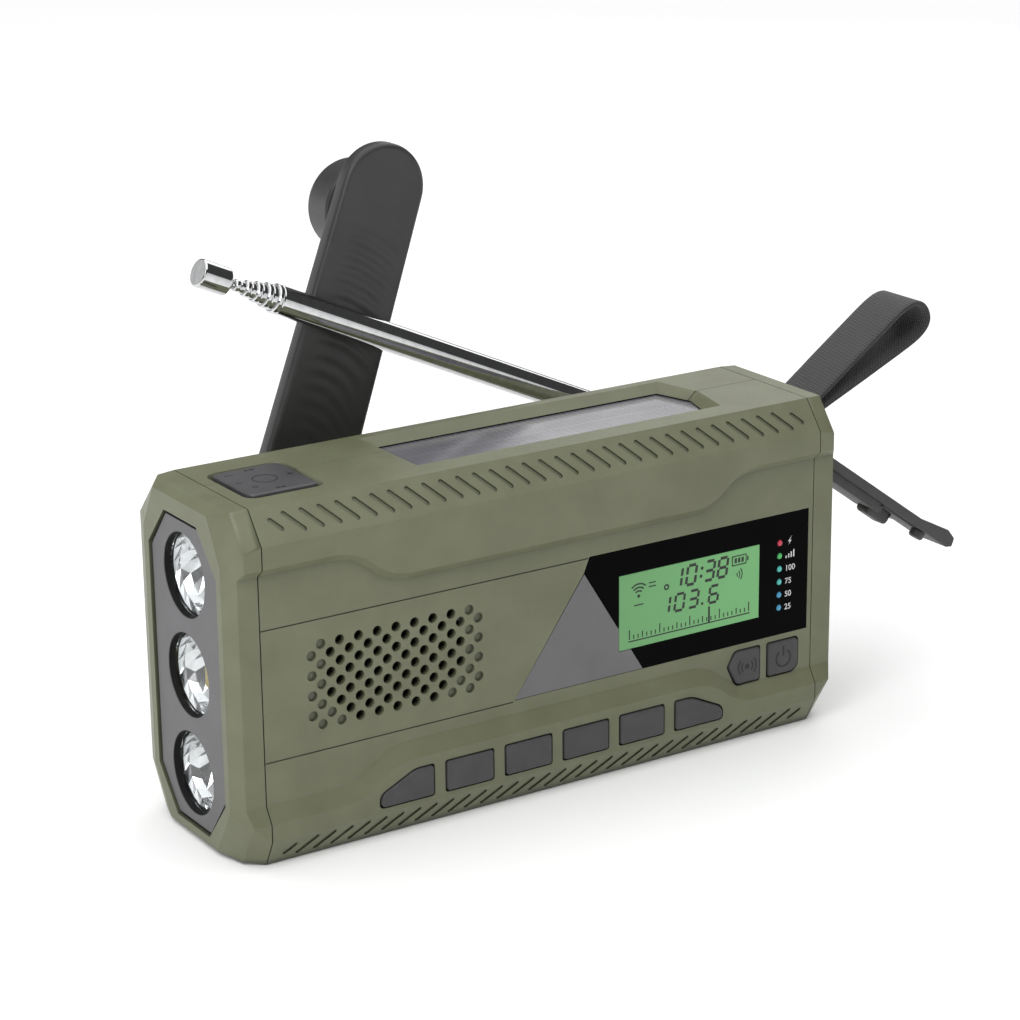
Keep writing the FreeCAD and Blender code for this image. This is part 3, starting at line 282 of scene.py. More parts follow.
def mottled(name, colours, roughness, mottle_mm, texture_mm, relief_mm=0.0):
    """A finish: colour drifts between two hexes over mottle_mm, gloss and relief vary over texture_mm."""
    material, tree, shader = new_finish(name)
    place = node(tree, "ShaderNodeTexCoord").outputs["Object"]
    cloud = node(tree, "ShaderNodeTexNoise", inputs={"Vector": place, "Scale": 1000 / mottle_mm, "Detail": 3.0})
    drift = node(tree, "ShaderNodeMapRange",
                 inputs={"Value": cloud.outputs["Fac"], "From Min": 0.3, "From Max": 0.7})
    colour = node(tree, "ShaderNodeMix", {"data_type": "RGBA"},
                  {0: drift.outputs["Result"], 6: linear(colours[0]), 7: linear(colours[1])})
    fine = node(tree, "ShaderNodeTexNoise", inputs={"Vector": place, "Scale": 1000 / texture_mm, "Detail": 3.0})
    gloss = node(tree, "ShaderNodeMapRange",
                 inputs={"Value": fine.outputs["Fac"], "From Min": 0.3, "From Max": 0.7,
                         "To Min": roughness[0], "To Max": roughness[1]})
    tree.links.new(colour.outputs[2], shader.inputs["Base Color"])
    tree.links.new(gloss.outputs["Result"], shader.inputs["Roughness"])
    if relief_mm:
        bump = node(tree, "ShaderNodeBump", inputs={"Height": fine.outputs["Fac"], "Distance": relief_mm * mm})
        tree.links.new(bump.outputs["Normal"], shader.inputs["Normal"])
    return material, tree, shader


def olive_abs():
    """Moulded ABS in olive drab: a satin spark-eroded skin, darkened in its creases by painted shade that also
    stands for settled dust.
    """
    material, tree, shader = mottled("olive_abs", ("#65674f", "#6d7057"), (0.38, 0.48), 9.0, 0.35, 0.018)
    skin_colour = shader.inputs["Base Color"].links[0].from_socket
    # Painted shade: an ambient occlusion mask darkens the colour towards #45473a in creases, hollows and under
    # ledges, also standing for dust.
    open_sky = node(tree, "ShaderNodeAmbientOcclusion", {"samples": 8}, {"Distance": crease_shade_reach * mm})
    crease_painted_shade = node(tree, "ShaderNodeMapRange", inputs={"Value": open_sky.outputs["AO"], "From Min": 0.35,
                                                      "From Max": 0.95, "To Min": 0.0, "To Max": 1.0})
    colour = node(tree, "ShaderNodeMix", {"data_type": "RGBA"},
                  {0: crease_painted_shade.outputs["Result"], 6: linear("#45473a"), 7: skin_colour})
    tree.links.new(colour.outputs[2], shader.inputs["Base Color"])
    return material


def key_rubber():
    """Silicone rubber keys: matt, slightly dusty charcoal."""
    return mottled("key_rubber", ("#3b3b3c", "#434344"), (0.50, 0.60), 6.0, 0.3, 0.012)[0]


def pad_rubber_painted_highlight():
    """Silicone rubber of the top pad: the key rubber with a smoother skin, painted a lighter grey as a painted
    highlight from the top light.
    """
    # The greys lighter than the key rubber's are painted highlight.
    return mottled("pad_rubber_painted_highlight", ("#454547", "#4d4d4f"), (0.36, 0.46), 6.0, 0.25, 0.006)[0]


def crank_nylon():
    """Glass-filled nylon: dark grey with a dry fibrous sheen."""
    return mottled("crank_nylon", ("#2f2f2f", "#353535"), (0.36, 0.46), 8.0, 0.25, 0.010)[0]


def bezel_abs():
    """ABS torch bezel: mid grey, fine satin texture."""
    return mottled("bezel_abs", ("#525254", "#58585a"), (0.36, 0.44), 8.0, 0.25, 0.008)[0]


def cover_tpe():
    """Thermoplastic elastomer socket cover: soft matt dark grey."""
    return mottled("cover_tpe", ("#343434", "#3c3c3c"), (0.46, 0.56), 5.0, 0.3, 0.012)[0]


def matt_black_and_painted_shade():
    """Dead black and matt: foam and rubber parts, and the torch's black gap and hole linings, which are painted
    shade.
    """
    return mottled("matt_black_and_painted_shade", ("#070707", "#0c0c0c"), (0.75, 0.9), 2.0, 0.3, 0.01)[0]


def window_acrylic():
    """Back-printed acrylic display window: black behind a polished, anti-reflection coated face."""
    material, _, shader = mottled("window_acrylic", ("#020203", "#040405"), (0.05, 0.09), 14.0, 20.0)
    tune(shader, {"Specular IOR Level": 0.03})
    return material


def accent_acrylic_painted_reflection():
    """Grey acrylic on the window's raked corner: a smoke tint with a painted reflection over it."""
    # The grey stands for the clear corner's smoke tint and a painted reflection on it.
    return mottled("accent_acrylic_painted_reflection", ("#5f5e60", "#676668"), (0.16, 0.24), 14.0, 20.0)[0]


def backlit_lcd():
    """Backlit liquid crystal glass: pale green, brighter towards the lamp side, with a fine weave of cells."""
    material, tree, shader = new_finish("backlit_lcd")
    place = node(tree, "ShaderNodeTexCoord").outputs["Object"]
    axes = node(tree, "ShaderNodeSeparateXYZ", inputs={"Vector": place})
    low, high = lcd_low[0] * mm, lcd_high[0] * mm
    across = node(tree, "ShaderNodeMapRange",
                  inputs={"Value": axes.outputs["X"], "From Min": low, "From Max": high})
    cell = node(tree, "ShaderNodeTexVoronoi", {"feature": "F1"}, {"Vector": place, "Scale": 1000 / 0.6})
    share = node(tree, "ShaderNodeMath", {"operation": "MULTIPLY_ADD"},
                 {0: cell.outputs["Distance"], 1: 0.12, 2: across.outputs["Result"]})
    colour = node(tree, "ShaderNodeMix", {"data_type": "RGBA"},
                  {0: share.outputs[0], 6: linear("#5d8a5c"), 7: linear("#669a66")}).outputs[2]
    tree.links.new(colour, shader.inputs["Base Color"])
    tree.links.new(colour, shader.inputs["Emission Color"])
    tune(shader, {"Emission Strength": 0.4, "Roughness": 0.3, "Specular IOR Level": 0.2})
    return material


def lcd_ink():
    """A driven liquid crystal segment: almost black green."""
    return mottled("lcd_ink", ("#0b140c", "#101a11"), (0.3, 0.4), 0.5, 0.5)[0]


def printed_white():
    """Screen-printed white ink, slightly uneven in thickness."""
    return mottled("printed_white", ("#c4c4c4", "#dcdcdc"), (0.45, 0.55), 1.5, 0.2, 0.004)[0]


def key_legend():
    """A legend pressed into rubber: darker than the key around it."""
    return mottled("key_legend", ("#1e1e1e", "#242424"), (0.55, 0.65), 2.0, 0.2, 0.006)[0]


def lit_lamp(name, hex_colour, glow, tip):
    """A diffused epoxy LED glowing in its own colour; its base colour is painted shade, full at the tip and
    half as bright towards the rim.
    """
    material, tree, shader = new_finish(name)
    place = node(tree, "ShaderNodeTexCoord").outputs["Object"]
    away = node(tree, "ShaderNodeVectorMath", {"operation": "DISTANCE"},
                {0: place, 1: tuple(c * mm for c in tip)})
    # Painted shade: the base colour falls to half from the tip towards the dome's rim.
    rim = node(tree, "ShaderNodeMapRange", inputs={"Value": away.outputs["Value"], "From Min": 0.3 * mm,
                                                   "From Max": 1.1 * mm}).outputs["Result"]
    core = linear(hex_colour)
    colour = node(tree, "ShaderNodeMix", {"data_type": "RGBA"},
                  {0: rim, 6: core, 7: (core[0] / 2, core[1] / 2, core[2] / 2, 1.0)})
    tree.links.new(colour.outputs[2], shader.inputs["Base Color"])
    tune(shader, {"Emission Color": core, "Emission Strength": glow, "Roughness": 0.25})
    return material


def chromed_brass():
    """Chromium-plated brass tube: mirror bright with faint haze from handling."""
    material, _, shader = mottled("chromed_brass", ("#c4c5c6", "#d4d5d6"), (0.03, 0.08), 1.6, 1.6)
    tune(shader, {"Metallic": 1.0})
    return material


def vacuum_mirror():
    """Vacuum-metallised reflector: bright aluminium over moulded facets."""
    material, _, shader = mottled("vacuum_mirror", ("#d5d5d7", "#e6e6e8"), (0.07, 0.14), 3.0, 3.0)
    tune(shader, {"Metallic": 1.0})
    return material


def lens_polycarbonate():
    """Polished clear polycarbonate lens."""
    material, _, shader = mottled("lens_polycarbonate", ("#f0f3f3", "#f6f8f8"), (0.0, 0.03), 6.0, 6.0)
    tune(shader, {"Transmission Weight": 1.0, "IOR": 1.2})
    return material


def phosphor():
    """Yellow phosphor gel over an LED array."""
    return mottled("phosphor", ("#c9b25c", "#d6c26c"), (0.4, 0.5), 2.0, 0.5, 0.03)[0]


def lamp_epoxy():
    """Milky epoxy dome over a torch LED."""
    return mottled("lamp_epoxy", ("#d9d8cc", "#e8e6da"), (0.14, 0.22), 2.0, 1.0, 0.01)[0]


def solar_laminate():
    """Monocrystalline cells under laminate: lavender grey gloss, fine silver fingers and bus bars across it."""
    material, tree, shader = mottled("solar_laminate", ("#5d5c62", "#68676e"), (0.16, 0.24), 12.0, 9.0)
    place = node(tree, "ShaderNodeTexCoord").outputs["Object"]
    axes = node(tree, "ShaderNodeSeparateXYZ", inputs={"Vector": place})
    finger = node(tree, "ShaderNodeMath", {"operation": "PINGPONG"},
                  {0: axes.outputs["X"], 1: cell_finger * mm})
    line = node(tree, "ShaderNodeMath", {"operation": "LESS_THAN"}, {0: finger.outputs[0], 1: 0.07 * mm})
    bus = node(tree, "ShaderNodeMath", {"operation": "PINGPONG"}, {0: axes.outputs["Y"], 1: bus_pitch * mm})
    band = node(tree, "ShaderNodeMath", {"operation": "LESS_THAN"}, {0: bus.outputs[0], 1: 0.22 * mm})
    metal = node(tree, "ShaderNodeMath", {"operation": "MAXIMUM"}, {0: line.outputs[0], 1: band.outputs[0]})
    cell = shader.inputs["Base Color"].links[0].from_socket
    colour = node(tree, "ShaderNodeMix", {"data_type": "RGBA"},
                  {0: metal.outputs[0], 6: cell, 7: linear("#75747d")})
    tree.links.new(colour.outputs[2], shader.inputs["Base Color"])
    tune(shader, {"Coat Weight": 0.35, "Coat Roughness": 0.14})
    return material


def nylon_webbing():
    """Woven nylon webbing: ribs along the strap under a slanting weft, drawn coarse enough to show."""
    material, tree, shader = new_finish("nylon_webbing")
    strip = node(tree, "ShaderNodeUVMap", {"uv_map": "strip"}).outputs["UV"]
    rib = node(tree, "ShaderNodeTexWave", {"wave_type": "BANDS", "bands_direction": "Y"},
               {"Vector": strip, "Scale": wave_scale(strap_rib), "Distortion": 0.2})
    weft = node(tree, "ShaderNodeTexWave", {"wave_type": "BANDS", "bands_direction": "DIAGONAL"},
                {"Vector": strip, "Scale": 2 * wave_scale(strap_weft), "Distortion": 0.2})
    thread = node(tree, "ShaderNodeMath", {"operation": "MULTIPLY"},
                  {0: rib.outputs["Fac"], 1: weft.outputs["Fac"]})
    colour = node(tree, "ShaderNodeMix", {"data_type": "RGBA"},
                  {0: thread.outputs[0], 6: linear("#2b2b2b"), 7: linear("#4c4c4c")})
    bump = node(tree, "ShaderNodeBump", inputs={"Height": thread.outputs[0], "Distance": 0.12 * mm})
    tree.links.new(colour.outputs[2], shader.inputs["Base Color"])
    tree.links.new(bump.outputs["Normal"], shader.inputs["Normal"])
    tune(shader, {"Roughness": 0.75, "Sheen Weight": 0.2, "Sheen Roughness": 0.5})
    return material


def zinc_steel():
    """Zinc-plated steel: pale grey with a brushed haze."""
    material, _, shader = mottled("zinc_steel", ("#9a9b9c", "#b4b5b6"), (0.28, 0.4), 3.0, 0.6)
    tune(shader, {"Metallic": 1.0})
    return material


def circuit_board():
    """Solder-masked glass epoxy: dark green satin with faint copper relief."""
    return mottled("circuit_board", ("#12351f", "#184428"), (0.3, 0.4), 3.0, 1.4, 0.03)[0]


def shrink_sleeve():
    """Blue heat-shrink sleeve of the battery cell."""
    return mottled("shrink_sleeve", ("#16355e", "#1c3f6c"), (0.2, 0.3), 8.0, 2.0, 0.01)[0]


def natural_nylon():
    """Unfilled nylon gears: waxy off-white."""
    return mottled("natural_nylon", ("#c6c3b6", "#d2cfc3"), (0.34, 0.42), 6.0, 0.4, 0.004)[0]


def speaker_cloth_weave():
    """Black speaker cloth: a plain weave with threads 0.7 mm apart."""
    material, tree, shader = new_finish("speaker_cloth_weave")
    place = node(tree, "ShaderNodeTexCoord").outputs["Object"]
    scale = wave_scale(cloth_thread)
    warp = node(tree, "ShaderNodeTexWave", {"bands_direction": "X"}, {"Vector": place, "Scale": scale})
    weft = node(tree, "ShaderNodeTexWave", {"bands_direction": "Z"}, {"Vector": place, "Scale": scale})
    thread = node(tree, "ShaderNodeMath", {"operation": "MULTIPLY"},
                  {0: warp.outputs["Fac"], 1: weft.outputs["Fac"]})
    colour = node(tree, "ShaderNodeMix", {"data_type": "RGBA"},
                  {0: thread.outputs[0], 6: linear("#040404"), 7: linear("#161616")})
    tree.links.new(colour.outputs[2], shader.inputs["Base Color"])
    tune(shader, {"Roughness": 0.9})
    return material


olive, rubber, pad_painted_highlight_skin, nylon = olive_abs(), key_rubber(), pad_rubber_painted_highlight(), crank_nylon()
bezel_grey, cover_grey, black_foam_and_painted_shade = bezel_abs(), cover_tpe(), matt_black_and_painted_shade()
chrome, mirror, clear, steel = chromed_brass(), vacuum_mirror(), lens_polycarbonate(), zinc_steel()
legend, white_ink, dark_ink = key_legend(), printed_white(), lcd_ink()


# ---- CAD pieces that keep their shape ------------------------------------------------------------

def soften(name, width_mm):
    """Weld a CAD node's loose triangles and round its sharp edges, with even shading."""
    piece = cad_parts[name]
    weld = piece.modifiers.new("weld", "WELD")
    weld.merge_threshold = 1e-6
    bevel = piece.modifiers.new("edges", "BEVEL")
    bevel.width = width_mm * mm
    bevel.segments = 2
    bevel.limit_method = "ANGLE"
    bevel.angle_limit = math.radians(28)
    bevel.harden_normals = True
    return piece


kept = {
    "front_shell": (olive, 0.35), "rear_shell": (olive, 0.35), "left_end_cap": (olive, 0.35),
    "right_end_cap": (olive, 0.35),
    "display_window": (window_acrylic(), 0), "accent_panel": (accent_acrylic_painted_reflection(), 0),
    "lcd_module": (backlit_lcd(), 0), "torch_bezel": (bezel_grey, 0), "solar_panel": (solar_laminate(), 0.1),
    "solar_tray": (black_foam_and_painted_shade, 0), "crank_hub": (nylon, 0.3), "aerial_knuckle": (nylon, 0.3),
    "fold_pin": (steel, 0), "knob_stud": (steel, 0.2), "strap_bar": (steel, 0), "flap_pin": (steel, 0),
    "case_screws": (steel, 0.15), "usb_socket": (steel, 0.1), "audio_jack": (black_foam_and_painted_shade, 0.1),
    "battery_cell": (shrink_sleeve(), 0.3), "battery_cradle": (black_foam_and_painted_shade, 0), "gear_plate": (steel, 0),
    "dynamo": (steel, 0.2), "drive_gear": (natural_nylon(), 0), "dynamo_pinion": (natural_nylon(), 0),
    "speaker_frame": (steel, 0), "speaker_cone": (black_foam_and_painted_shade, 0), "speaker_magnet": (black_foam_and_painted_shade, 0),
    "torch_floodlight": (phosphor(), 0.2),
}
board_finish = circuit_board()
for board in ("main_board", "key_board", "side_key_board", "pad_board", "torch_board"):
    kept[board] = (board_finish, 0)
for name, (finish, width) in kept.items():
    node_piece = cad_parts[name]
    node_piece.data.materials.clear()
    node_piece.data.materials.append(finish)
    if width:
        soften(name, width)


# ---- front panel ---------------------------------------------------------------------------------

def front_plate(name, outline, low, high, edge, spine=None):
    """A slab facing the front; low and high are distances in front of the case's middle plane."""
    return skin(name, laid(plate(outline, low, high, edge, spine), (0, 0, 0), **FRONT))


key_pitch, key_width, key_low, key_high = 15.6, 12.2, 7.8, 14.8
for index in range(6):
    middle = -0.4 + (index - 2.5) * key_pitch
    left, right = middle - key_width / 2, middle + key_width / 2
    if index == 0:
        corners = [(left - 1.3, key_low), (right, key_low), (right, key_high), (left + 7.5, key_high),
                   (left - 1.3, key_low + 2.8)]
        radii = [1.1, 0.7, 0.7, 6.0, 2.4]
    elif index == 5:
        corners = [(left, key_low), (right + 1.3, key_low), (right + 1.3, key_low + 2.8),
                   (right - 7.5, key_high), (left, key_high)]
        radii = [0.7, 1.1, 2.4, 6.0, 0.7]
    else:
        corners = [(left, key_low), (right, key_low), (right, key_high), (left, key_high)]
        radii = [0.7] * 4
    outline = even(rounded_outline(corners, radii), 0.6)
    spine = [(left + (6.5 if index == 0 else 3.0), 11.0), (right - (6.5 if index == 5 else 3.0), 11.0)]
    name = "function_key_%d" % (index + 1)
    cap = front_plate(name + "_cap", outline, 20.0, 24.9, 0.45, spine)
    set_down(cap, rubber, "key_%d" % (index + 1), [name])

alarm = even(rounded_outline([(51.6, 14.2), (58.4, 14.2), (58.4, 22.4), (51.4, 22.4), (49.2, 19.0)],
                             [1.6, 0.7, 0.7, 1.6, 1.2]), 0.6)
power = even(rounded_outline([(60.9, 14.2), (69.8, 14.2), (69.8, 22.4), (60.9, 22.4)],
                             [0.7, 2.4, 1.2, 0.7]), 0.6)
set_down(front_plate("alarm_key_cap", alarm, 20.0, 22.7, 0.4), rubber, "alarm", ["alarm_key"])
set_down(front_plate("power_key_cap", power, 20.0, 22.7, 0.4), rubber, "power", ["power_key"])


def arc_band(centre, radius, width, start, finish, steps=20):
    """The outline of an arc of even width between two angles in degrees, its ends cut square."""
    t = np.radians(np.linspace(start, finish, steps))
    spoke = np.stack([np.cos(t), np.sin(t)], axis=-1)
    outer, inner = spoke * (radius + width / 2), spoke[::-1] * (radius - width / 2)
    return np.concatenate([outer, inner]) + np.asarray(centre, float)


def bar(centre, width, height, angle=0.0, slant=0.0):
    """A rectangle's outline turned by an angle in degrees and sheared sideways by slant times its height."""
    box = np.array([(-1, -1), (1, -1), (1, 1), (-1, 1)]) * [width / 2, height / 2]
    box = box + np.stack([box[:, 1] * slant, box[:, 1] * 0], axis=-1)
    t = math.radians(angle)
    turn = np.array([[math.cos(t), math.sin(t)], [-math.sin(t), math.cos(t)]])
    return box @ turn + np.asarray(centre, float)


def round_dot(centre, radius, steps=24):
    """A circle's outline: the centre plus the radius times (cos t, sin t)."""
    t = np.linspace(0, 2 * math.pi, steps, endpoint=False)
    return np.stack([np.cos(t), np.sin(t)], axis=-1) * radius + np.asarray(centre, float)


def inked(name, shapes, height, thickness, ways=FRONT):
    """Flat prints: every outline becomes a thin slab that ends at a height along the ways' third direction."""
    points, faces = [], []
    for flat in shapes:
        start, count = len(points), len(flat)
        for level in (height - thickness, height):
            points += lifted(flat, level).tolist()
        low, high = range(start, start + count), range(start + count, start + 2 * count)
        faces += [tuple(low)[::-1], tuple(high)]
        faces += [(a, b, d, c) for a, b, c, d in zip(low, list(low)[1:] + [start], high,
                                                      list(high)[1:] + [start + count])]
    mesh = bpy.data.meshes.new(name)
    mesh.from_pydata((laid(np.array(points), (0, 0, 0), **ways) * mm).tolist(), [], faces)
    work = bmesh.new()
    work.from_mesh(mesh)
    bmesh.ops.triangulate(work, faces=work.faces)
    bmesh.ops.recalc_face_normals(work, faces=work.faces)
    work.to_mesh(mesh)
    work.free()
    return placed(name, mesh)


power_mark = [arc_band((65.35, 18.1), 2.1, 0.5, 125, 415), bar((65.35, 19.9), 0.5, 2.6)]
set_down(inked("power_key_mark", power_mark, 22.73, 0.1), legend, "power")
alarm_mark = [round_dot((54.6, 18.3), 0.7)]
for reach in (1.6, 2.6):
    alarm_mark += [arc_band((54.6, 18.3), reach, 0.42, -42, 42), arc_band((54.6, 18.3), reach, 0.42, 138, 222)]
set_down(inked("alarm_key_mark", alarm_mark, 22.73, 0.1), legend, "alarm")

# The digits are slanted seven-segment figures: segments run a to g from the top, clockwise, middle last.
SEGMENTS = {"0": "abcdef", "1": "bc", "3": "abgcd", "8": "abcdefg", "5": "afgcd", "9": "abcdfg", "6": "afgcde"}


def seven_segment(digit, left, low, width, height, stroke, slant=0.14):
    """The lit segments of one digit, as bars with gaps between them."""
    x0, x1, z0, z1 = left, left + width, low, low + height
    middle, gap = (z0 + z1) / 2, stroke * 0.75
    tall = (z1 - z0) / 2 - gap
    places = {"a": ((x0 + x1) / 2, z1, 0), "d": ((x0 + x1) / 2, z0, 0), "g": ((x0 + x1) / 2, middle, 0),
              "b": (x1, (middle + z1) / 2, 1), "c": (x1, (middle + z0) / 2, 1),
              "f": (x0, (middle + z1) / 2, 1), "e": (x0, (middle + z0) / 2, 1)}
    shapes = []
    for segment in SEGMENTS[digit]:
        x, z, upright = places[segment]
        box = bar((x, z), stroke, tall) if upright else bar((x, z), width - gap, stroke)
        shapes.append(box + np.stack([(box[:, 1] - low) * slant, box[:, 1] * 0], axis=-1))
    return shapes


lcd_marks = []
for digit, left in (("1", 32.9), ("0", 36.9), ("3", 42.1), ("8", 45.9)):
    lcd_marks += seven_segment(digit, left, 41.9, 2.5, 4.6, 0.72)
lcd_marks += [round_dot((41.2, 43.3), 0.42), round_dot((41.5, 45.2), 0.42),
              arc_band((31.4, 42.6), 0.55, 0.4, 0, 359)]
lcd_marks += [round_dot((23.6, 42.0), 0.4)]
lcd_marks += [arc_band((23.6, 42.0), reach, 0.38, 48, 132) for reach in (1.25, 2.1, 2.95)]
lcd_marks += [bar((27.4, 44.6), 2.0, 0.3), bar((27.4, 43.7), 2.0, 0.3), bar((23.6, 39.9), 2.6, 0.3)]
lcd_marks += [bar((52.2, z), 4.2, 0.28) for z in (46.2, 44.0)]
lcd_marks += [bar((50.2, 45.1), 0.28, 2.3), bar((54.2, 45.1), 0.28, 2.3), bar((54.7, 45.1), 0.4, 1.1)]
lcd_marks += [bar((x, 45.1), 0.7, 1.2) for x in (51.2, 52.2, 53.2)]
lcd_marks += [arc_band((51.0, 41.6), reach, 0.28, -40, 40) for reach in (0.7, 1.4, 2.1)]
# A plain tuning scale fills the two lower rows: a frequency above evenly spaced ticks.
for digit, left in (("1", 29.5), ("0", 33.6), ("3", 37.6), ("6", 43.4)):
    lcd_marks += seven_segment(digit, left, 36.2, 2.5, 4.0, 0.66)
lcd_marks += [round_dot((41.6, 36.5), 0.36)]
for tick in range(29):
    tall = 2.3 if tick % 7 == 0 else (1.5 if tick % 7 in (3, 4) and tick % 2 else 1.0)
    lcd_marks += [bar((21.0 + tick * 1.22, 31.9 + tall / 2), 0.3, tall)]
lcd_marks += [bar((38.1, 31.4), 34.8, 0.3), bar((43.6, 33.4), 0.55, 4.0)]
set_down(inked("lcd_segments", lcd_marks, -lcd_y + 0.02, 0.02), dark_ink, "case")

led_x, led_top, led_pitch, led_radius = 64.2, 46.9, 3.22, 0.8
lamps = [("charge", "#a83444", 0.5), ("tuned", "#3f9a52", 0.45), ("level_100", "#48a39c", 0.4),
         ("level_75", "#48a39c", 0.4), ("level_50", "#3f82a4", 0.4), ("level_25", "#3f82a4", 0.4)]
dome = [(0.0, 0.0), (0.0, led_radius), (1.9, led_radius), (2.2, led_radius * 0.86), (2.38, led_radius * 0.5),
        (2.42, 0.0)]
for k, (name, colour, glow) in enumerate(lamps):
    base = (led_x, -20.2, led_top - k * led_pitch)
    lamp = skin("lamp_" + name, turned(dome, base, (0, -0.9, 0), 28))
    tip = (led_x, panel_y - 0.18, led_top - k * led_pitch)
    set_down(lamp, lit_lamp("lamp_epoxy_" + name, colour, glow, tip), "case",
             ["indicator_leds"] if k == 0 else [])


def figures(name, text, left, low, height):
    """A number in plain block figures, set flat on the window."""
    curve = bpy.data.curves.new(name, "FONT")
    curve.body = text
    curve.size = height * 1.38 * mm
    curve.extrude = 0.01 * mm
    curve.offset = 0.02 * mm
    letters = placed(name, curve)
    bpy.context.view_layer.update()
    mesh = bpy.data.meshes.new_from_object(letters)
    bpy.data.objects.remove(letters)
    corner = Matrix.Translation((left * mm, (panel_y - 0.02) * mm, low * mm))
    mesh.transform(corner @ Matrix.Rotation(math.pi / 2, 4, "X"))
    return placed(name, mesh)


for k, text in enumerate(("100", "75", "50", "25")):
    z = led_top - (k + 2) * led_pitch
    set_down(figures("figures_" + text, text, led_x + 1.5, z - 0.72, 1.45), white_ink, "case")
spark = np.array([(66.6, 46.1), (67.5, 47.1), (67.0, 47.2), (67.6, 48.2), (66.5, 47.0), (67.0, 46.9)])
tuning_low = led_top - led_pitch - 0.8
tuning = [bar((66.0 + 0.75 * k, tuning_low + 0.3 + 0.2 * k), 0.35, 0.6 + 0.4 * k) for k in range(4)]
set_down(inked("window_marks", [spark] + tuning, -panel_y + 0.03, 0.02), white_ink, "case")

# Speaker cloth stretched behind the grille.
speaker_front = (-40.7, -19.9, 38.9)
cloth = skin("speaker_cloth", turned([(0, 0), (0, 17.8), (0.3, 17.8), (0.3, 0)], speaker_front, (0, 1, 0), 64))
set_down(cloth, speaker_cloth_weave(), "case")


# ---- top -----------------------------------------------------------------------------------------

pad_centre, pad_size = np.array([-61.0, -2.7]), np.array([16.4, 18.4])
pad_outline = even(rounded_outline(pad_centre + np.array([(-1, -1), (1, -1), (1, 1), (-1, 1)]) * pad_size / 2,
                                   [1.5] * 4), 0.6)
pad = skin("control_pad_cap", laid(plate(pad_outline, 77.6, 80.3, 0.5), (0, 0, 0), **TOP))
set_down(pad, pad_painted_highlight_skin, "pad", ["control_pad"])


def triangle(centre, size, heading):
    """An even triangle's outline: three points a third of a turn apart, the first towards the heading."""
    t = np.radians(heading + np.array([0, 120, 240]))
    return np.stack([np.cos(t), np.sin(t)], axis=-1) * size + np.asarray(centre, float)


pad_marks = [arc_band(pad_centre, 2.7, 0.35, 0, 359.9, 48)]
pad_marks += [bar(pad_centre + [6.2, 0], 1.6, 0.35), bar(pad_centre + [6.2, 0], 0.35, 1.6)]
pad_marks += [bar(pad_centre + [-6.2, 0], 1.6, 0.35)]
pad_marks += [triangle(pad_centre + [x, 7.3], 0.8, 0) for x in (-0.6, 0.7)]
pad_marks += [triangle(pad_centre + [x, -7.3], 0.8, 180) for x in (-0.7, 0.6)]
pad_marks += [bar(pad_centre + [-5.6, 5.9], 2.0, 0.3, 0), bar(pad_centre + [-5.0, -4.2], 0.35, 1.5),
              bar(pad_centre + [-4.2, -4.2], 0.35, 1.5)]
set_down(inked("control_pad_marks", pad_marks, 80.33, 0.08, TOP), legend, "pad")


# ---- torch ---------------------------------------------------------------------------------------

def octagon(grow, low=4.0, high=73.3, side=14.8):
    """The bezel's outline grown all round."""
    side, small = side + grow, grow * 0.4
    corners = [(-side, low + 9.4 - small), (-side, high - 8.8 + small), (-7.5, high + grow), (7.5, high + grow),
               (side, high - 8.8 + small), (side, low + 9.4 - small), (7.5, low - grow), (-7.5, low - grow)]
    return np.array(corners[::-1])


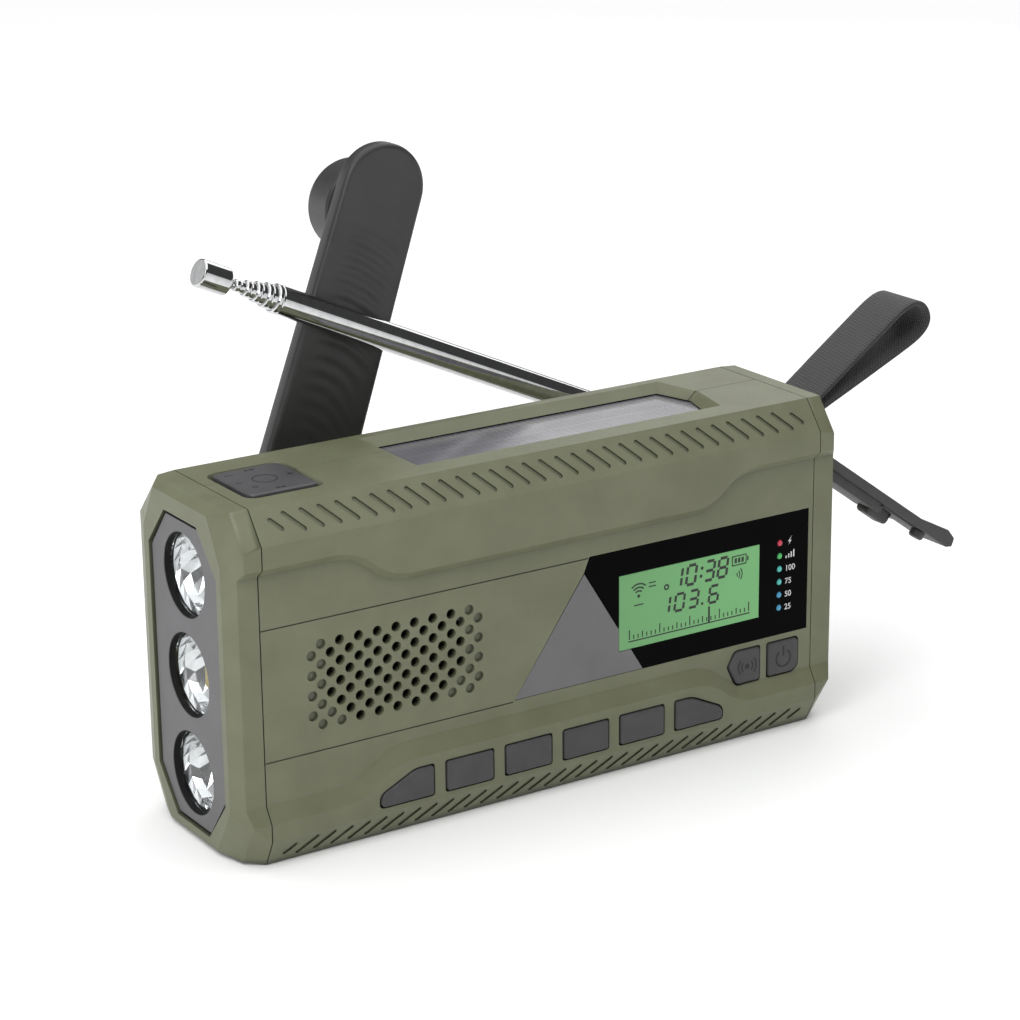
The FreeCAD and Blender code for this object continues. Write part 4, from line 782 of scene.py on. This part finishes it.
# Painted shade: a black ring at the foot of the gap round the bezel, where the gap lies in shadow.
gap_painted_shade = skin("torch_gap_painted_shade", laid(ring_wall(octagon(0.82), octagon(0.06), 77.2, 79.3), (0, 0, 0), **TORCH),
              wrap_rows=True, smooth=False)
set_down(gap_painted_shade, black_foam_and_painted_shade, "case")
epoxy = lamp_epoxy()
for name, z in torch_heights.items():
    inward = (1, 0, 0)
    centre = (lens_face, 0, z)
    # Painted shade: a thin black lining inside each lens hole stands for its shadowed wall.
    hole_lining_painted_shade = skin("torch_hole_lining_painted_shade_" + name, turned([(-1.35, 9.53), (-1.35, 9.42), (1.2, 9.42), (1.2, 9.53)],
                                                 centre, inward, 96), wrap_rows=True, smooth=False)
    set_down(hole_lining_painted_shade, black_foam_and_painted_shade, "case")
    glass = [(1.2, 0), (1.2, 9.2), (1.05, 9.38), (0.12, 9.38), (0.0, 9.2), (-0.1, 7.0), (-0.2, 3.5), (-0.22, 0)]
    lens = skin("torch_lens_dome_" + name, turned(glass, centre, inward, 96))
    set_down(lens, clear, "case", ["torch_lens_" + name])
    # The cup is a ladder of flat facets: rings of a paraboloid, each stepped round by half a facet.
    depth = np.array([1.25, 2.6, 4.2, 6.0, 7.9, 9.6, 10.3])
    radius = np.array([9.1, 8.45, 7.5, 6.1, 4.7, 3.2, 2.1])
    facets = 18
    t = (np.arange(facets) + (np.arange(len(depth)) % 2)[:, None] * 0.5) * 2 * math.pi / facets
    cup = np.stack([np.broadcast_to(depth[:, None], t.shape), radius[:, None] * np.cos(t),
                    radius[:, None] * np.sin(t)], axis=-1) + np.asarray(centre, float)
    bowl = skin("torch_cup_" + name, cup, smooth=False)
    shell = bowl.modifiers.new("wall", "SOLIDIFY")
    shell.thickness = 0.3 * mm
    shell.offset = 1.0
    set_down(bowl, mirror, "case", ["torch_reflectors"] if name == "upper" else [])
    if name != "middle":
        bead = [(10.2, 0), (10.2, 2.4), (8.6, 2.4), (8.5, 2.0), (7.9, 1.95), (6.9, 1.5), (6.4, 0.8), (6.25, 0)]
        led = skin("torch_led_" + name, turned(bead, centre, inward, 40))
        set_down(led, epoxy, "case", ["torch_leds"] if name == "upper" else [])


# ---- crank ---------------------------------------------------------------------------------------

t = np.linspace(0, math.pi, 41)
tip_arc = np.stack([arm_tip * np.cos(t), arm_reach + arm_tip * np.sin(t)], axis=-1)
arm_sides = rounded_outline([(-arm_tip, arm_reach), (-arm_half, arm_root), (arm_half, arm_root),
                             (arm_tip, arm_reach)], [0, 1.8, 1.8, 0])[1:-1]
arm_outline = even(np.concatenate([arm_sides, tip_arc]), 0.7)
arm_grid = plate(arm_outline, -arm_back, -arm_front, 1.2, [(0, arm_root + 9), (0, arm_reach)], 26)
# Finger ribs on the front face: shallow waves 3.6 mm apart whose crests curve down towards one side.
a, b, height = arm_grid[..., 0], arm_grid[..., 1], arm_grid[..., 2]
front_side = height > -arm_front - 0.01
bend = np.clip(a + 5.0, 0, None) ** 2 / np.interp(b, [20, 48, 60], [22, 22, 45])
edge_room = np.clip((np.minimum(arm_tip - 1.6 - np.abs(a) * 0.98, 3.0)) / 3.0, 0, 1)
fade = np.clip((a + 9.0) / 6.0, 0, 1) * edge_room
fade = fade * np.clip((b - 20) / 5, 0, 1) * np.clip((91 - b) / 6, 0, 1)
depth = np.interp(b, [20, 48, 60, 95], [0.12, 0.14, 0.36, 0.36])
rib = depth * fade * (0.5 - 0.5 * np.cos(2 * math.pi * (b + bend) / rib_pitch))
arm_grid[..., 2] = np.where(front_side, height - rib, height)
arm = skin("crank_arm_blade", laid(arm_grid, hub, **CRANK))
set_down(arm, nylon, "crank_arm_body", ["crank_arm"])
across, up = np.array(CRANK["a_way"]), np.array(CRANK["b_way"])
fold_centre = hub + up * fold_reach + np.array([0, fold_y, 0])
barrel = [(-4.8, 0), (-4.8, 2.6), (-4.5, 2.9), (4.5, 2.9), (4.8, 2.6), (4.8, 0)]
set_down(skin("crank_arm_barrel", turned(barrel, fold_centre, across, 48)), nylon, "crank_arm_body")
root_outline = even(rounded_outline([(-4.8, fold_reach + 0.6), (4.8, fold_reach + 0.6), (4.8, arm_root + 1.4),
                                     (-4.8, arm_root + 1.4)], [0.3] * 4), 0.8)
root = skin("crank_arm_root", laid(plate(root_outline, -arm_back + 0.05, -(fold_y + 0.4), 0.3), hub, **CRANK))
set_down(root, nylon, "crank_arm_body")
knob_centre = hub + up * knob_reach + np.array([0, arm_back + 0.3, 0])
knob = [(0.0, 2.3), (0.0, 9.9), (0.25, 10.5), (0.9, 10.8), (knob_length - 1.2, 10.8),
        (knob_length - 0.35, 10.45), (knob_length, 9.6), (knob_length, 4.6), (knob_length - 0.3, 4.3),
        (knob_length - 2.2, 4.3), (knob_length - 2.2, 2.3)]
knob_piece = skin("crank_knob_grip", turned(knob, knob_centre, (0, 1, 0), 96), wrap_rows=True)
set_down(knob_piece, nylon, "crank_knob_body", ["crank_knob"])


# ---- aerial --------------------------------------------------------------------------------------

for name, body, start, finish, radius in aerial_sections:
    bore = radius - 0.43
    tube = [(start, bore), (start, radius), (finish - 1.5, radius), (finish - 1.35, radius - 0.12),
            (finish - 1.1, radius - 0.12), (finish - 0.95, radius), (finish - 0.25, radius),
            (finish, radius - 0.22), (finish, bore)]
    section = skin(name + "_skin", turned(tube, aerial_foot, aerial_way, 64), wrap_rows=True)
    set_down(section, chrome, body, [name])
rod = [(24, 0), (24, 0.9), (128.4, 0.9), (128.4, 0.0)]
set_down(skin("aerial_rod_skin", turned(rod, aerial_foot, aerial_way, 40)), chrome, "aerial_5",
         ["aerial_rod"])
tip = [(128.2, 0), (128.2, 1.9), (128.5, 2.1), (129.0, 2.9), (129.3, 3.2), (129.6, 3.25), (136.1, 3.25),
       (136.4, 3.15), (136.5, 2.9), (136.5, 0)]
set_down(skin("aerial_tip_button", turned(tip, aerial_foot, aerial_way, 64)), chrome, "aerial_5",
         ["aerial_tip"])


# ---- wrist strap ---------------------------------------------------------------------------------

def smooth_loop(points, samples):
    """A closed uniform cubic B-spline: each span is the usual weighted mean of four neighbouring points."""
    points = np.asarray(points, float)
    count = len(points)
    t = np.linspace(0, count, samples, endpoint=False)
    k, f = np.floor(t).astype(int), (t % 1)[:, None]
    p = [points[(k + j - 1) % count] for j in range(4)]
    return ((1 - f) ** 3 * p[0] + (3 * f ** 3 - 6 * f ** 2 + 4) * p[1]
            + (-3 * f ** 3 + 3 * f ** 2 + 3 * f + 1) * p[2] + f ** 3 * p[3]) / 6


span = strap_end - strap_foot
reach = float(np.linalg.norm(span))
along = span / reach
aside = np.array([-along[1], along[0]])
# One side of the loop, by distance along the strap and half the gap there: round the bar, pinched, then open.
half_loop = [(-2.4, 0.0), (-1.6, 1.9), (1.6, 2.1), (5.0, 0.85), (9.0, 0.7), (15.0, 1.1), (22.0, 1.8),
             (30.0, 2.7), (38.0, 3.5), (45.0, 4.2), (50.0, 4.6), (53.8, 3.9), (55.7, 1.8)]
loop = np.array(half_loop + [(s, -g) for s, g in half_loop[:0:-1]])
middle_line = smooth_loop(loop, 260)
ahead = np.roll(middle_line, -1, 0) - np.roll(middle_line, 1, 0)
ahead = ahead / np.linalg.norm(ahead, axis=1, keepdims=True)
normal = np.stack([-ahead[:, 1], ahead[:, 0]], axis=-1)
t = np.linspace(0, math.pi, 9)
edge_turn = np.stack([np.sin(t), np.cos(t)], axis=-1) * strap_thickness / 2
flat = (strap_width - strap_thickness) / 2
section = np.concatenate([edge_turn + [flat, 0], (-edge_turn) - [flat, 0]])
section = even(section[::-1], 0.9)
flat_points = middle_line[:, None, :] + normal[:, None, :] * section[None, :, 1:2]
world = strap_foot + flat_points[..., :1] * along + flat_points[..., 1:] * aside
strap_sides = np.broadcast_to(strap_y + section[None, :, 0], world.shape[:2])
strap_grid = np.stack([world[..., 0], strap_sides, world[..., 1]], axis=-1)
steps = np.linalg.norm(np.diff(np.vstack([middle_line, middle_line[:1]]), axis=0), axis=1)
length = np.concatenate([[0], np.cumsum(steps)]) * mm
strap_uv = (length, np.append(section[:, 0], section[0, 0]) * mm)
strap = skin("wrist_strap_webbing", strap_grid, wrap_rows=True, uv=strap_uv)
set_down(strap, nylon_webbing(), "strap", ["wrist_strap"])


# ---- socket cover --------------------------------------------------------------------------------

COVER = dict(a_way=(math.cos(flap_swing), 0, math.sin(flap_swing)),
             b_way=(-math.sin(flap_swing), 0, math.cos(flap_swing)), height_way=(0, -1, 0))
# Rotating by -54 degrees about +Y turns +X towards +Z, so the closed cover's own down points out along +X.
cover_origin = np.array([flap_hinge[0], flap_y, flap_hinge[1]])
side = flap_width / 2


def cover_plate(name, corners, radii, width, edge, spine, replaces=()):
    """A slab of the cover: its side view's outline carried across the cover's width."""
    outline = even(rounded_outline(corners, radii), 0.8)
    piece = skin(name, laid(plate(outline, -width / 2, width / 2, edge, spine), cover_origin, **COVER))
    return set_down(piece, cover_grey, "cover", replaces)


cover_plate("port_cover_plate",
            [(-0.7, 0.0), (-0.7, -55.0), (0.2, -56.5), (2.3, -56.0), (3.2, -53.0), (1.7, -43.0), (1.7, 0.0)],
            [0.3, 0.8, 0.5, 0.7, 1.2, 4.0, 0.3], flap_width, 0.35, [(0.5, -2), (0.6, -54)], ["port_cover"])
cover_plate("port_cover_band", [(-2.9, -30.8), (-0.4, -30.8), (-0.4, -3.0), (-2.9, -3.0)],
            [0.4, 0.1, 0.1, 0.4], flap_width - 2.2, 0.3, [(-1.6, -29), (-1.6, -5)])
cover_plate("port_cover_rim", [(-1.2, -42.6), (-0.4, -42.6), (-0.4, -30.7), (-1.2, -30.7)],
            [0.2, 0.05, 0.05, 0.2], flap_width - 2.2, 0.15, [(-0.8, -42), (-0.8, -31.5)])
cover_plate("port_cover_usb_plug", [(-4.3, -36.8), (-0.9, -36.8), (-0.9, -28.8), (-4.3, -28.8)],
            [1.2, 0.1, 0.1, 1.2], 4.4, 0.6, [(-2.6, -35.5), (-2.6, -30)])
jack_plug = [(-2.7, 0), (-2.7, 1.5), (-2.3, 1.9), (-0.9, 1.9), (-0.9, 0)]
jack_centre = cover_origin + np.array(COVER["b_way"]) * -46.5 + np.array([0, -3.0, 0])
set_down(skin("port_cover_jack_plug", turned(jack_plug, jack_centre, COVER["a_way"], 40)), cover_grey, "cover")
hinge_roll = [(-side, 0), (-side, 1.4), (-side + 0.3, 1.7), (side - 0.3, 1.7), (side, 1.4), (side, 0)]
set_down(skin("port_cover_hinge_roll", turned(hinge_roll, cover_origin, (0, 1, 0), 40)), cover_grey, "cover")


# ---- floor, light and camera ---------------------------------------------------------------------

def studio():
    """A pale floor under a soft sky, bright overhead and at the horizon, dim between, and three panels."""
    scene = bpy.context.scene
    scene.view_settings.view_transform = "Standard"
    floor_mesh = bpy.data.meshes.new("floor")
    floor_mesh.from_pydata([(-6, -6, 0), (6, -6, 0), (6, 6, 0), (-6, 6, 0)], [], [(0, 1, 2, 3)])
    floor = placed("floor", floor_mesh)
    floor_paint, _, shader = new_finish("pale_floor_paint")
    tune(shader, {"Base Color": linear("#f8f8f8"), "Roughness": 0.9,
                  "Emission Color": linear("#ffffff"), "Emission Strength": 0.09})
    floor.data.materials.append(floor_paint)
    floor.location.z = -0.0002
    world = bpy.data.worlds.new("soft_sky")
    scene.world = world
    world.use_nodes = True
    sky = world.node_tree
    direction = node(sky, "ShaderNodeTexCoord").outputs["Generated"]
    height = node(sky, "ShaderNodeSeparateXYZ", inputs={"Vector": direction}).outputs["Z"]
    ramp = node(sky, "ShaderNodeValToRGB", inputs={"Fac": height})
    stops = [(0.0, horizon), (0.10, horizon), (0.14, sky_dim), (0.62, sky_dim), (0.70, sky_bright),
             (1.0, sky_bright)]
    while len(ramp.color_ramp.elements) < len(stops):
        ramp.color_ramp.elements.new(0.5)
    for element, (place, value) in zip(ramp.color_ramp.elements, stops):
        element.position = place
        element.color = (value, value, value, 1)
    sky.links.new(ramp.outputs["Color"], sky.nodes["Background"].inputs["Color"])
    sky.nodes["Background"].inputs["Strength"].default_value = sky_strength
    # Each panel: its name, its place and the point it faces in metres, its width and its power.
    panels = [("back_right_panel", (0.62, 0.55, 0.55), (0.05, 0, 0.07), 0.5, 1.3),
              ("back_left_panel", (-0.45, 0.585, 0.25), (-0.03, 0.02, 0.11), 0.55, 0.6),
              ("front_left_panel", (-0.31, -0.20, 0.32), (-0.07, 0, 0.04), 0.20, 0.62)]
    for name, place, aim, size, power in panels:
        data = bpy.data.lights.new(name, "AREA")
        data.size = size
        data.energy = power
        lamp = placed(name, data)
        lamp.location = place
        lamp.rotation_euler = (Vector(aim) - Vector(place)).to_track_quat("-Z", "Y").to_euler()


def camera():
    """The viewing angle: front left, a little above, with a long lens."""
    eye = Vector((-344.33, -539.95, 269.26)) * mm
    target = Vector((7.66, 6.90, 57.84)) * mm
    data = bpy.data.cameras.new("camera")
    lens_to_width, sensor_width = 2955.68 / 1020, 36.0
    data.sensor_width = sensor_width
    data.lens = lens_to_width * sensor_width
    data.clip_start = 0.01
    data.clip_end = 50
    made = placed("camera", data)
    made.location = eye
    aim = (target - eye).to_track_quat("-Z", "Y").to_matrix().to_4x4()
    made.rotation_euler = (aim @ Matrix.Rotation(math.radians(camera_roll), 4, "Z")).to_euler()
    bpy.context.scene.camera = made


studio()
camera()
